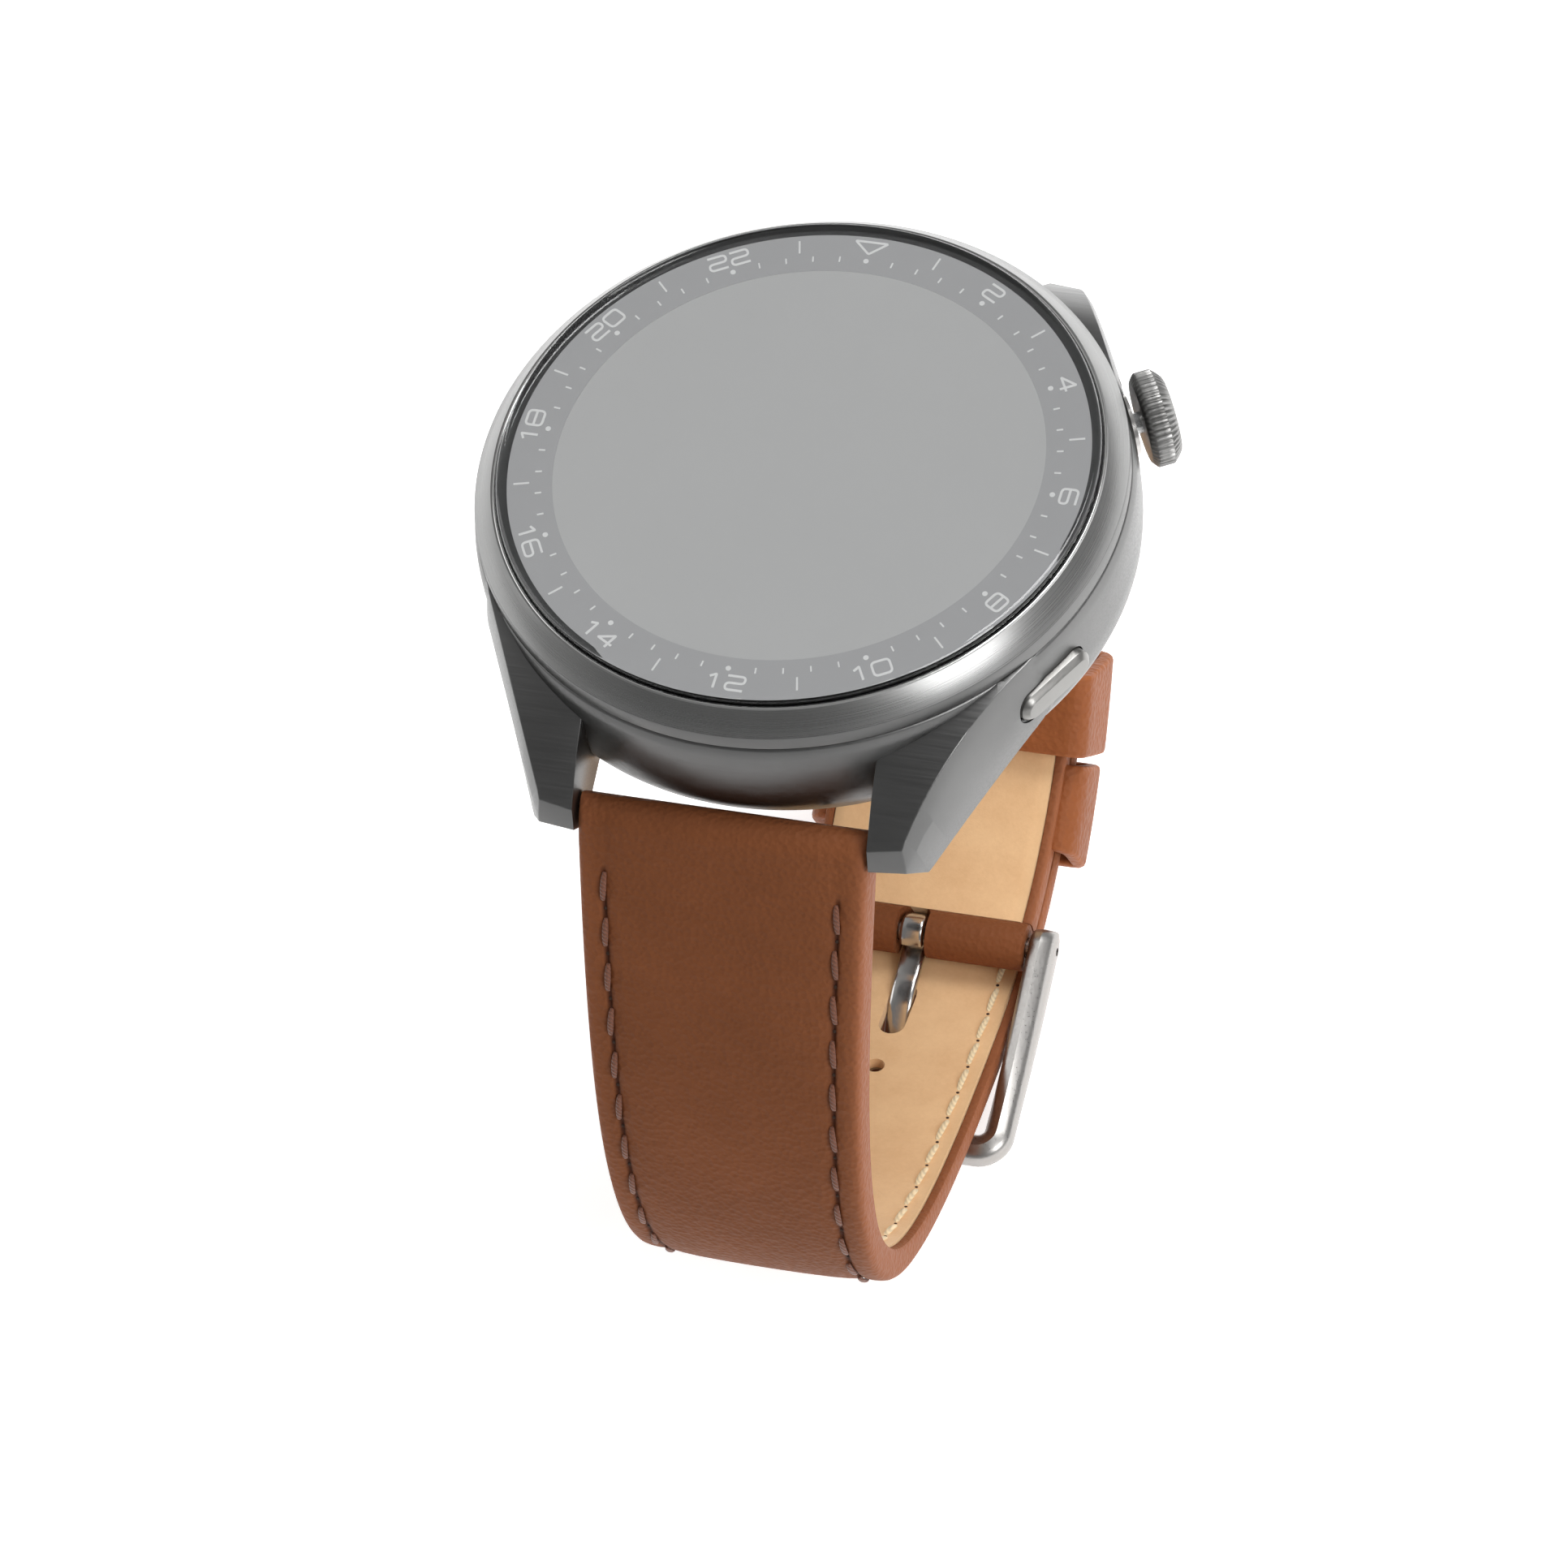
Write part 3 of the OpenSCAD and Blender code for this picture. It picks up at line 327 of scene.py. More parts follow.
class Recipe:
    """Writes the nodes of one material."""

    def __init__(self, name: str) -> None:
        """Starts a material with only its shader.

        Args:
            name: name of the material.
        """
        self.stuff = bpy.data.materials.new(name)
        self.stuff.use_nodes = True
        self.tree = self.stuff.node_tree
        self.shader = self.tree.nodes["Principled BSDF"]
        self.place = self.put("ShaderNodeTexCoord").outputs["Object"]

    def put(self, kind: str, **settings: object) -> bpy.types.Node:
        """Adds a node with some of its settings.

        Args:
            kind: Blender's name for the node.
            settings: values of its own settings.

        Returns:
            The node.
        """
        node = self.tree.nodes.new(kind)
        for key, value in settings.items():
            setattr(node, key, value)
        return node

    def feed(self, node: bpy.types.Node, **inputs: object) -> bpy.types.Node:
        """Links or sets a node's inputs, named with underscores for spaces.

        Args:
            node: the node.
            inputs: sockets to link, or values to set.

        Returns:
            The node.
        """
        for key, value in inputs.items():
            port = node.inputs[key.replace("_", " ")]
            if isinstance(value, bpy.types.NodeSocket):
                self.tree.links.new(value, port)
            else:
                port.default_value = value
        return node

    def scaled(self, x: float, y: float, z: float) -> bpy.types.NodeSocket:
        """Object coordinates stretched along each axis, in cycles a metre.

        Args:
            x: stretch along the first axis.
            y: stretch along the second.
            z: stretch along the third.

        Returns:
            The coordinates.
        """
        node = self.put("ShaderNodeVectorMath", operation="MULTIPLY")
        self.tree.links.new(self.place, node.inputs[0])
        node.inputs[1].default_value = (x, y, z)
        return node.outputs[0]

    def rings(self, scale: float) -> bpy.types.NodeSocket:
        """Coordinates that change only with the distance from the dial's axis.

        Args:
            scale: cycles a metre.

        Returns:
            The coordinates.
        """
        flat = self.scaled(1, 1, 0)
        far = self.put("ShaderNodeVectorMath", operation="LENGTH")
        self.tree.links.new(flat, far.inputs[0])
        split = self.put("ShaderNodeSeparateXYZ")
        self.tree.links.new(self.place, split.inputs[0])
        join = self.put("ShaderNodeCombineXYZ")
        self.tree.links.new(far.outputs["Value"], join.inputs[0])
        self.tree.links.new(split.outputs[2], join.inputs[1])
        out = self.put("ShaderNodeVectorMath", operation="SCALE")
        self.tree.links.new(join.outputs[0], out.inputs[0])
        out.inputs["Scale"].default_value = scale
        return out.outputs[0]

    def noise(self, where: bpy.types.NodeSocket, scale: float = 1.0, detail: float = 3.0,
              rough: float = 0.55) -> bpy.types.NodeSocket:
        """Cloudy pattern from 0 to 1.

        Args:
            where: coordinates that it follows.
            scale: its fineness.
            detail: finer layers in it.
            rough: weight of those layers.

        Returns:
            The pattern.
        """
        node = self.put("ShaderNodeTexNoise")
        self.feed(node, Vector=where, Scale=scale, Detail=detail, Roughness=rough)
        return node.outputs["Fac"]

    def cells(self, where: bpy.types.NodeSocket, scale: float = 1.0) -> bpy.types.NodeSocket:
        """Distance to the nearest of scattered points.

        Args:
            where: coordinates that it follows.
            scale: points a metre.

        Returns:
            The distance.
        """
        node = self.put("ShaderNodeTexVoronoi", feature="SMOOTH_F1")
        self.feed(node, Vector=where, Scale=scale, Smoothness=0.35)
        return node.outputs["Distance"]

    def spread(self, value: bpy.types.NodeSocket, low: float, high: float,
               start: float = 0.3, end: float = 0.7) -> bpy.types.NodeSocket:
        """Maps a pattern from one range to another, clamped.

        Args:
            value: the pattern.
            low: result at start.
            high: result at end.
            start: first value of the pattern's range.
            end: last value of it.

        Returns:
            The mapped pattern.
        """
        node = self.put("ShaderNodeMapRange")
        self.tree.links.new(value, node.inputs[0])
        for port, number in zip(node.inputs[1:5], (start, end, low, high)):
            port.default_value = number
        return node.outputs[0]

    def blend(self, share: bpy.types.NodeSocket | float, a: object,
              b: object) -> bpy.types.NodeSocket:
        """Mixes two colours.

        Args:
            share: 0 for the first, 1 for the second.
            a: first colour, or the socket that gives it.
            b: second colour, or its socket.

        Returns:
            The mixed colour.
        """
        node = self.put("ShaderNodeMix", data_type="RGBA")
        for port, value in ((node.inputs[0], share), (node.inputs[6], a), (node.inputs[7], b)):
            if isinstance(value, bpy.types.NodeSocket):
                self.tree.links.new(value, port)
            elif isinstance(value, tuple):
                port.default_value = (*value[:3], 1.0)
            else:
                port.default_value = value
        return node.outputs[2]

    def sum(self, a: bpy.types.NodeSocket, b: bpy.types.NodeSocket,
            share: float) -> bpy.types.NodeSocket:
        """First value plus a share of the second.

        Args:
            a: first value.
            b: second value.
            share: how much of the second is added.

        Returns:
            The sum.
        """
        node = self.put("ShaderNodeMath", operation="MULTIPLY_ADD")
        self.tree.links.new(b, node.inputs[0])
        node.inputs[1].default_value = share
        self.tree.links.new(a, node.inputs[2])
        return node.outputs[0]

    def tone(self) -> bpy.types.NodeSocket:
        """Tone that the mesh carries, from -1 where shade is painted into a groove to 1 on an edge.
        """
        return self.put("ShaderNodeAttribute", attribute_name="tone").outputs["Fac"]

    def bump(self, height: bpy.types.NodeSocket, depth_mm: float,
             strength: float = 1.0) -> None:
        """Raises the surface by a pattern.

        Args:
            height: the pattern.
            depth_mm: its full depth in millimetres.
            strength: share of it that shows.
        """
        node = self.put("ShaderNodeBump")
        self.feed(node, Height=height, Distance=depth_mm * MM, Strength=strength)
        self.tree.links.new(node.outputs[0], self.shader.inputs["Normal"])

    def set(self, **inputs: object) -> "Recipe":
        """Sets or links the shader's own sockets."""
        self.feed(self.shader, **inputs)
        return self


@dataclass(frozen=True)
class Metal:
    """Bare metal, brushed or polished."""

    name: str
    shade: tuple[float, float, float]
    roughness: float
    brush: Brush = Brush.NONE
    lines: float = 9000.0
    depth: float = 0.004
    drift: float = 0.12

    def make(self) -> Stuff:
        """Builds the material.

        Returns:
            The material.
        """
        r = Recipe(self.name)
        if self.brush is Brush.ROUND:
            fine = r.noise(r.rings(self.lines), 1, 2)
        elif self.brush is Brush.ACROSS:
            fine = r.noise(r.scaled(180, self.lines, self.lines), 1, 2)
        elif self.brush is Brush.LENGTH:
            fine = r.noise(r.scaled(self.lines, 180, self.lines), 1, 2)
        else:
            fine = r.noise(r.place, 4200, 4)
        cloud = r.noise(r.place, 160, 3)
        dim = tuple(c * (1 - self.drift) for c in self.shade)
        worn = r.sum(cloud, fine, 0.35)
        r.set(Base_Color=r.blend(r.spread(worn, 0, 1, 0.4, 0.95), dim, self.shade),
              Metallic=1.0,
              Roughness=r.spread(fine, self.roughness * 0.82, self.roughness * 1.2))
        r.bump(fine, self.depth)
        return r.stuff


@dataclass(frozen=True)
class Leather:
    """Smooth dyed leather with a fine grain, a burnished edge and shade painted into its grooves
    and folds.
    """

    name: str
    face: tuple[float, float, float]
    edge: tuple[float, float, float]
    # groove: colour of the shade painted into stitch grooves and folds
    groove: tuple[float, float, float]
    grain: float = 2300.0
    crease: float = 0.5
    roughness: float = 0.44

    def make(self) -> Stuff:
        """Builds the material.

        Returns:
            The material.
        """
        r = Recipe(self.name)
        pebble = r.cells(r.place, self.grain)
        across = r.noise(r.scaled(420, 1500, 1500), 1, 4, 0.6)
        fine = r.noise(r.place, 5200, 3)
        patch = r.noise(r.place, 95, 3)
        dark = tuple(c * 0.84 for c in self.face)
        face = r.blend(r.spread(r.sum(patch, across, 0.35), 0, 1, 0.45, 0.85), dark, self.face)
        tone = r.tone()
        rim = r.spread(tone, 0, 1, 0.05, 1.0)
        # Painted shade: where the tone is below zero, in stitch grooves and keeper folds, the
        # colour darkens towards the groove colour.
        pit = r.spread(tone, 1, 0, -0.9, -0.1)
        colour = r.blend(pit, r.blend(rim, face, self.edge), self.groove)
        r.set(Base_Color=colour, Specular_IOR_Level=0.15, IOR=1.46,
              Roughness=r.spread(r.sum(pebble, fine, 0.4), self.roughness + 0.08,
                                 self.roughness - 0.06, 0.2, 0.9))
        relief = r.sum(r.sum(pebble, across, self.crease), fine, 0.18)
        r.bump(relief, 0.1, 0.85)
        return r.stuff


@dataclass(frozen=True)
class Nubuck:
    """Undyed lining leather with a short nap."""

    name: str
    shade: tuple[float, float, float]
    speck: tuple[float, float, float]

    def make(self) -> Stuff:
        """Builds the material.

        Returns:
            The material.
        """
        r = Recipe(self.name)
        nap = r.noise(r.place, 3600, 5, 0.7)
        cloud = r.noise(r.place, 240, 4)
        pores = r.cells(r.place, 1500)
        mottle = r.sum(r.sum(cloud, nap, 0.5), pores, -0.12)
        rim = r.spread(r.tone(), 0, 1, 0.1, 1.0)
        face = r.blend(r.spread(mottle, 0, 1, 0.42, 0.98), self.speck, self.shade)
        r.set(Base_Color=r.blend(rim, face, tuple(c * 0.62 for c in self.shade)),
              Roughness=r.spread(nap, 0.72, 0.9), Sheen_Weight=0.22, Sheen_Roughness=0.45,
              Specular_IOR_Level=0.25)
        r.bump(r.sum(nap, pores, 0.4), 0.045, 0.7)
        return r.stuff


@dataclass(frozen=True)
class Thread:
    """Twisted sewing thread, with shade painted into the grooves of its twist."""

    name: str
    shade: tuple[float, float, float]

    def make(self) -> Stuff:
        """Builds the material.

        Returns:
            The material.
        """
        r = Recipe(self.name)
        twist = r.put("ShaderNodeTexWave", wave_type="BANDS", bands_direction="DIAGONAL")
        r.feed(twist, Vector=r.place, Scale=1500.0, Distortion=1.2, Detail=1.0)
        fuzz = r.noise(r.place, 9000, 3)
        mixed = r.sum(twist.outputs["Fac"], fuzz, 0.4)
        dark = tuple(c * 0.78 for c in self.shade)
        # Painted shade: the colour darkens where the twist's bump is lowest, in the grooves between
        # the plies.
        r.set(Base_Color=r.blend(r.spread(mixed, 0, 1, 0.2, 1.1), dark, self.shade),
              Roughness=r.spread(fuzz, 0.5, 0.72), Sheen_Weight=0.2)
        r.bump(mixed, 0.05, 0.8)
        return r.stuff


@dataclass(frozen=True)
class Glass:
    """Clear crystal."""

    name: str
    roughness: float = 0.015

    def make(self) -> Stuff:
        """Builds the material.

        Returns:
            The material.
        """
        r = Recipe(self.name)
        smear = r.noise(r.place, 120, 4)
        r.set(Base_Color=(0.97, 0.98, 0.98, 1), Transmission_Weight=1.0, IOR=1.5,
              Roughness=r.spread(smear, self.roughness * 0.4, self.roughness, 0.35, 0.75))
        return r.stuff


@dataclass(frozen=True)
class PaintedGlow:
    """Surface under the crystal that glows evenly: painted light, the glow standing in for the
    light that reaches it through the crystal.
    """

    name: str
    shade: tuple[float, float, float]
    glow: float
    own: float = 0.1

    def make(self) -> Stuff:
        """Builds the material.

        Returns:
            The material.
        """
        r = Recipe(self.name)
        fine = r.noise(r.place, 9000, 2)
        veil = r.noise(r.place, 60, 2)
        low = tuple(c * 0.985 for c in self.shade)
        hue = r.blend(r.spread(r.sum(veil, fine, 0.3), 0, 1, 0.4, 0.9), low, self.shade)
        base = r.blend(r.spread(veil, 0, 1), tuple(c * self.own * 0.9 for c in self.shade),
                       tuple(c * self.own for c in self.shade))
        r.set(Base_Color=base, Emission_Color=hue, Emission_Strength=self.glow,
              Roughness=r.spread(fine, 0.5, 0.62), Specular_IOR_Level=0.1)
        return r.stuff


@dataclass(frozen=True)
class Plain:
    """Moulded, painted or machined inner surface with a fine texture."""

    name: str
    shade: tuple[float, float, float]
    roughness: float = 0.5
    metallic: float = 0.0
    grain: float = 3000.0
    depth: float = 0.01
    coat: float = 0.0

    def make(self) -> Stuff:
        """Builds the material.

        Returns:
            The material.
        """
        r = Recipe(self.name)
        fine = r.noise(r.place, self.grain, 4)
        cloud = r.noise(r.place, 190, 3)
        dim = tuple(c * 0.82 for c in self.shade)
        r.set(Base_Color=r.blend(r.spread(r.sum(cloud, fine, 0.5), 0, 1, 0.5, 1.0),
                                 dim, self.shade),
              Metallic=self.metallic, Coat_Weight=self.coat, Coat_Roughness=0.06,
              Roughness=r.spread(fine, self.roughness * 0.85, min(1.0, self.roughness * 1.15)))
        r.bump(fine, self.depth)
        return r.stuff


COGNAC = (0.225, 0.074, 0.027)
FINISHES = (
    Metal("satin_case", (0.18, 0.18, 0.178), 0.34, Brush.ACROSS, 7000, 0.0012),
    Metal("brushed_bezel", (0.31, 0.31, 0.307), 0.3, Brush.ROUND, 14000, 0.0015),
    Metal("polished_lip", (0.80, 0.80, 0.79), 0.1),
    Metal("crown_steel", (0.29, 0.288, 0.282), 0.36, depth=0.001),
    Metal("button_satin", (0.30, 0.295, 0.285), 0.34, Brush.LENGTH, 8000, 0.001),
    Metal("polished_steel", (0.56, 0.545, 0.53), 0.2, depth=0.0001, drift=0.05),
    Metal("satin_steel", (0.43, 0.417, 0.402), 0.32, depth=0.0004, drift=0.06),
    Metal("turned_steel", (0.55, 0.55, 0.55), 0.24, Brush.ROUND, 9000, 0.003),
    # Each leather's third colour is the shade painted into its grooves and folds.
    Leather("cognac_leather", COGNAC, (0.29, 0.10, 0.042), (0.07, 0.02, 0.008), roughness=0.6),
    Leather("keeper_leather", (0.30, 0.094, 0.032), (0.36, 0.12, 0.043),
            (0.12, 0.035, 0.014), grain=2000, crease=0.8, roughness=0.5),
    Leather("inner_padding", (0.45, 0.30, 0.17), (0.5, 0.33, 0.2), (0.3, 0.2, 0.1),
            grain=1500, roughness=0.7),
    Nubuck("tan_lining", (0.87, 0.575, 0.315), (0.76, 0.47, 0.245)),
    Thread("brown_thread", (0.19, 0.062, 0.028)),
    Thread("cream_thread", (0.92, 0.74, 0.47)),
    Glass("crystal_glass"),
    # Painted light: these three glow in place of the light that falls on them through the crystal.
    PaintedGlow("screen_grey", (0.385, 0.385, 0.385), 1.0),
    PaintedGlow("chapter_grey", (0.315, 0.315, 0.32), 1.0),
    PaintedGlow("print_grey", (0.60, 0.60, 0.60), 1.0),
    Plain("black_gasket", (0.012, 0.012, 0.013), 0.45),
    Plain("seal_rubber", (0.02, 0.02, 0.02), 0.65, grain=2200),
    Plain("inner_plastic", (0.035, 0.036, 0.04), 0.55),
    Plain("green_board", (0.02, 0.11, 0.055), 0.42, coat=0.3),
    Plain("tin_plate", (0.62, 0.63, 0.63), 0.34, 1.0, 2600, 0.004),
    Plain("cell_wrap", (0.20, 0.22, 0.25), 0.4, 0.5, coat=0.2),
    Plain("copper_wire", (0.72, 0.33, 0.17), 0.3, 1.0, 5000, 0.01),
    Plain("ferrite", (0.06, 0.055, 0.055), 0.62),
    Plain("amber_flex", (0.42, 0.17, 0.03), 0.36, coat=0.4),
    Plain("back_shell", (0.055, 0.057, 0.062), 0.36, grain=4200, depth=0.006, coat=0.25),
    Plain("sensor_window", (0.008, 0.009, 0.012), 0.1, grain=900, depth=0.0005, coat=1.0),
    # Painted shade for the needle holes.
    Plain("needle_hole_shade", (0.045, 0.018, 0.008), 0.8),
    Plain("nylon_wheel", (0.62, 0.60, 0.55), 0.45),
)

CARRIED = {
    "back_cover": "back_shell", "back_window": "sensor_window", "back_gasket": "seal_rubber",
    "back_screws": "turned_steel", "display_flex": "amber_flex", "inner_frame": "inner_plastic",
    "main_board": "green_board", "shield_cans": "tin_plate", "battery": "cell_wrap",
    "haptic_motor": "turned_steel", "speaker": "inner_plastic", "microphone": "tin_plate",
    "sensor_board": "green_board", "optical_sensors": "sensor_window",
    "charging_coil": "copper_wire", "ferrite_disc": "ferrite", "crown_tube": "polished_steel",
    "crown_stem": "turned_steel", "crown_seals": "seal_rubber", "encoder_wheel": "nylon_wheel",
    "crown_switch": "inner_plastic", "button_stem": "turned_steel",
    "button_clip": "turned_steel", "button_seal": "seal_rubber",
    "button_switch": "inner_plastic", "spring_bar_front": "turned_steel",
    "spring_bar_rear": "turned_steel", "release_pin_front": "polished_steel",
    "release_pin_rear": "polished_steel", "buckle_pin": "polished_steel",
}


class Workshop:
    """Holds the made finishes and hands each finished piece over to the frame."""

    def __init__(self) -> None:
        """Makes every finish once."""
        self.stuff: dict[str, Stuff] = {f.name: f.make() for f in FINISHES}

    def hand_in(self, piece: Body, finish: str, body: str,
                nodes: Iterable[str] = ()) -> Body:
        """Dresses a piece, rides it on its body and lets it stand for its CAD nodes.

        Args:
            piece: the finished object.
            finish: name of its material.
            body: name of the body that it moves with.
            nodes: CAD nodes that it stands for.

        Returns:
            The piece.
        """
        piece.data.materials.clear()
        piece.data.materials.append(self.stuff[finish])
        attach(piece, body)
        if nodes:
            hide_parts(*nodes)
        LOG.info("%s: %d faces, %s", piece.name, len(piece.data.polygons), finish)
        return piece

    def dress_carried(self) -> None:
        """Gives each CAD node that stays its own finish."""
        for name, finish in CARRIED.items():
            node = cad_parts[name]
            if not node.material_slots:
                node.data.materials.append(self.stuff[finish])
            for place in node.material_slots:
                place.material = self.stuff[finish]
            LOG.info("%s: carried over, %s", name, finish)


# ---------------------------------------------------------------- case
@dataclass(frozen=True)
class Lug:
    """One horn of the case, drawn at the front right."""

    inner: float = 11.1
    tip: float = 27.3
    root: float = 8.0
    arc: float = 16.0
    arc_z: float = -5.38

    def section(self, d: float) -> Array:
        """Closed section of the lug at a distance along the strap.

        Args:
            d: distance from the dial's centre.

        Returns:
            Rows of x, y, z.
        """
        top_z = self.arc_z + math.sqrt(self.arc ** 2 - max(0.0, d - 13.5) ** 2)
        back = 26.0 - d
        top_x = 13.69 + 0.514 * (26.3 - d)
        mid = (14.42 + 0.522 * back, 3.58 + 0.682 * back - 0.0349 * back * back)
        low = (15.02 + 0.487 * (25.3 - d),
               0.27 + 0.385 * (25.3 - d) - 0.0055 * (25.3 - d) ** 2)
        sink = 0.75 * ease((13.5 - d) / 5.0)
        pts = [(self.inner, max(0.35, low[1] - 0.25)), (low[0] - sink, low[1]),
               (mid[0] - sink, mid[1]), (top_x - sink, top_z), (self.inner, top_z)]
        return np.array([(x, -d, z) for x, z in pts])

    def rings(self) -> list[Array]:
        """Sections from the tip's facets to the root inside the case wall.

        Returns:
            The sections, each as rows of x, y, z.
        """
        nose = np.array([(self.inner, -27.3, 2.03), (13.91, -26.92, 1.97),
                         (13.88, -26.75, 2.6), (13.72, -26.42, 4.05),
                         (self.inner, -26.82, 3.86)])
        cheek = np.array([(self.inner, -25.6, 0.35), (15.0, -25.3, 0.27),
                          (14.55, -25.75, 3.38), (13.86, -25.98, 4.63),
                          (self.inner, -26.42, 4.30)])
        return [nose, cheek] + [self.section(d) for d in np.linspace(24.9, self.root, 20)]


@dataclass
class Case:
    """Middle case with its lugs, bezel and crystal."""

    bezel_r: float = 24.15
    seat_z: float = 10.55
    lip_z: float = 13.35
    slope: float = 1.5
    lip_width: float = 0.3
    crown_clock: float = 60.0
    button_clock: float = 119.0
    glass_r: float = 22.3
    glass_low: float = 12.9
    glass_top: float = 14.0
    rim: float = 0.5
    ledge_r: float = 21.65
    ledge_z: float = 12.6
    cavity_r: float = 21.6
    floor_z: float = 1.7
    back_r: float = 20.9
    control_z: float = 6.7
    lug: Lug = field(default_factory=Lug)

    def barrel(self) -> Body:
        """Outside of the middle case, still solid.

        Returns:
            The turned body.
        """
        outer = [(0, 1.1), (20.9, 1.1), (21.4, 1.15), (22.6, 1.6), (23.65, 2.5), (24.25, 3.8),
                 (24.45, 5.4), (24.5, 8.35), (24.44, 9.8), (24.22, 10.42), (24.1, 10.55),
                 (0, 10.55)]
        fine = rounded_path(outer, 0.5, 3)
        return Shell().lathe(fine, 320).finish("case_body", 25)

    def horns(self) -> Body:
        """All four lugs with eased edges.

        Returns:
            One object that holds them.
        """
        shell = Shell()
        for sx in (1, -1):
            for sy in (1, -1):
                turn = np.array([sx, sy, 1])
                shell.loft([ring * turn for ring in self.lug.rings()])
        return ease_edges(shell.finish("horns", 12), 0.09, 2, 14)

    def cavity(self) -> Body:
        """Room for the works, with the bosses left standing, as one cutting shape.

        Returns:
            The cutting shape.
        """
        return Shell().lathe([(0, -1), (self.back_r, -1), (self.back_r, self.floor_z),
                              (19.5, self.floor_z), (19.5, self.floor_z + 3.0),
                              (self.cavity_r, self.floor_z + 3.0), (self.cavity_r, 15),
                              (0, 15)], 256).finish("cavity")

    def build(self, shop: Workshop) -> None:
        """Makes the middle case and hands it in.

        Args:
            shop: takes the finished pieces.
        """
        body = combine(self.barrel(), self.horns(), "UNION")
        seat = Shell().lathe([(0, self.seat_z), (self.bezel_r + 0.02, self.seat_z),
                              (self.bezel_r + 0.02, 15), (0, 15)], 320).finish("seat")
        combine(body, seat)
        combine(body, self.cavity())
        bore = Shell().lathe([(0, 18), (1.71, 18), (1.71, 24.34), (2.31, 24.34), (2.31, 24.83),
                              (3.85, 24.83), (3.85, 30), (0, 30)], 96,
                             lambda p: radial(p, self.crown_clock, self.control_z))
        combine(body, bore.finish("crown_bore"))
        well = pill(7.24, 2.64, 16)
        flare = pill(7.5, 2.9, 16)
        levels = ((22.98, well), (24.55, well), (24.7, flare), (29.0, flare))
        pocket = Shell().loft([radial(np.column_stack([o, np.full(len(o), z)]),
                                      self.button_clock, self.control_z) for z, o in levels])
        combine(body, pocket.finish("button_pocket"))
        shaft = Shell().lathe([(0, 18), (0.95, 18), (0.95, 24), (0, 24)], 48,
                              lambda p: radial(p, self.button_clock, self.control_z))
        combine(body, shaft.finish("button_bore"))
        shop.hand_in(body, "satin_case", "watch", ["case_middle"])

    def build_bezel(self, shop: Workshop) -> None:
        """Makes the brushed slope and the polished lip.

        Args:
            shop: takes the finished pieces.
        """
        b, lip_r = self.bezel_r, self.bezel_r - self.slope
        low = self.lip_z - self.slope
        base = [(self.ledge_r, self.seat_z + 0.02), (b - 0.08, self.seat_z + 0.02),
                (b, self.seat_z + 0.1), (b, low - 0.14), (b - 0.05, low),
                (lip_r + 0.06, self.lip_z - 0.04), (lip_r - 0.06, self.lip_z - 0.02),
                (lip_r - 0.06, self.lip_z - 0.4), (lip_r - self.lip_width, self.lip_z - 0.4),
                (lip_r - self.lip_width, self.ledge_z), (self.ledge_r, self.ledge_z)]
        ring = Shell().lathe(base, 384).finish("bezel_ring", 25)
        shop.hand_in(ring, "brushed_bezel", "watch", ["bezel"])
        ring.data.materials.append(shop.stuff["satin_case"])
        for face in ring.data.polygons:
            face.material_index = int(face.center.z / MM < low - 0.05)
        lip = [(lip_r - self.lip_width, self.lip_z - 0.4), (lip_r - 0.06, self.lip_z - 0.4),
               (lip_r - 0.06, self.lip_z - 0.06), (lip_r - 0.1, self.lip_z - 0.015),
               (lip_r - 0.15, self.lip_z), (lip_r - 0.22, self.lip_z - 0.01),
               (lip_r - 0.27, self.lip_z - 0.05), (lip_r - self.lip_width, self.lip_z - 0.12)]
        edge = Shell().lathe(lip, 384).finish("bezel_lip", 40)
        shop.hand_in(edge, "polished_lip", "watch")

    def build_crystal(self, shop: Workshop) -> None:
        """Makes the crystal with its rolled rim and the black gasket under it.

        Args:
            shop: takes the finished pieces.
        """
        g, top, low = self.glass_r, self.glass_top, self.glass_low
        turn = np.radians(np.linspace(90, 0, 15))
        roll = [(g - self.rim + self.rim * math.cos(a), top - self.rim + self.rim * math.sin(a))
                for a in turn]
        flat = [(0.0, low), (0.0, top), (g * 0.5, top), (g - self.rim - 0.4, top)]
        glass = Shell().lathe([*flat, *roll, (g, low + 0.03), (g - 0.03, low),
                               (g * 0.5, low)], 384).finish("front_glass", 30)
        shop.hand_in(glass, "crystal_glass", "watch", ["front_crystal"])
        wall = self.bezel_r - self.slope - self.lip_width - 0.005
        seal = Shell().lathe([(21.5, low - 0.06), (self.ledge_r + 0.01, low - 0.06),
                              (self.ledge_r + 0.01, self.ledge_z + 0.01),
                              (wall, self.ledge_z + 0.01), (wall, low + 0.4),
                              (g + 0.01, low + 0.4), (g + 0.01, low - 0.01),
                              (21.5, low - 0.01)], 320).finish("glass_gasket")
        shop.hand_in(seal, "black_gasket", "watch", ["crystal_gasket"])


# ---------------------------------------------------------------- dial
FIGURES: dict[str, list[tuple[bool, list[tuple[float, float]]]]] = {
    "0": [(True, [(-0.5, -0.5), (0.5, -0.5), (0.5, 0.5), (-0.5, 0.5)])],
    "1": [(False, [(-0.22, 0.3), (0.12, 0.5), (0.12, -0.5)])],
    "2": [(False, [(-0.5, 0.5), (0.5, 0.5), (0.5, 0.0), (-0.5, 0.0), (-0.5, -0.5),
                   (0.5, -0.5)])],
    "4": [(False, [(0.25, -0.5), (0.25, 0.5), (-0.5, -0.18), (0.5, -0.18)])],
    "6": [(False, [(0.5, 0.5), (-0.5, 0.5), (-0.5, -0.5), (0.5, -0.5), (0.5, 0.0),
                   (-0.5, 0.0)])],
    "8": [(True, [(-0.5, -0.5), (0.5, -0.5), (0.5, 0.5), (-0.5, 0.5)]),
          (False, [(-0.5, 0.0), (0.5, 0.0)])],
}


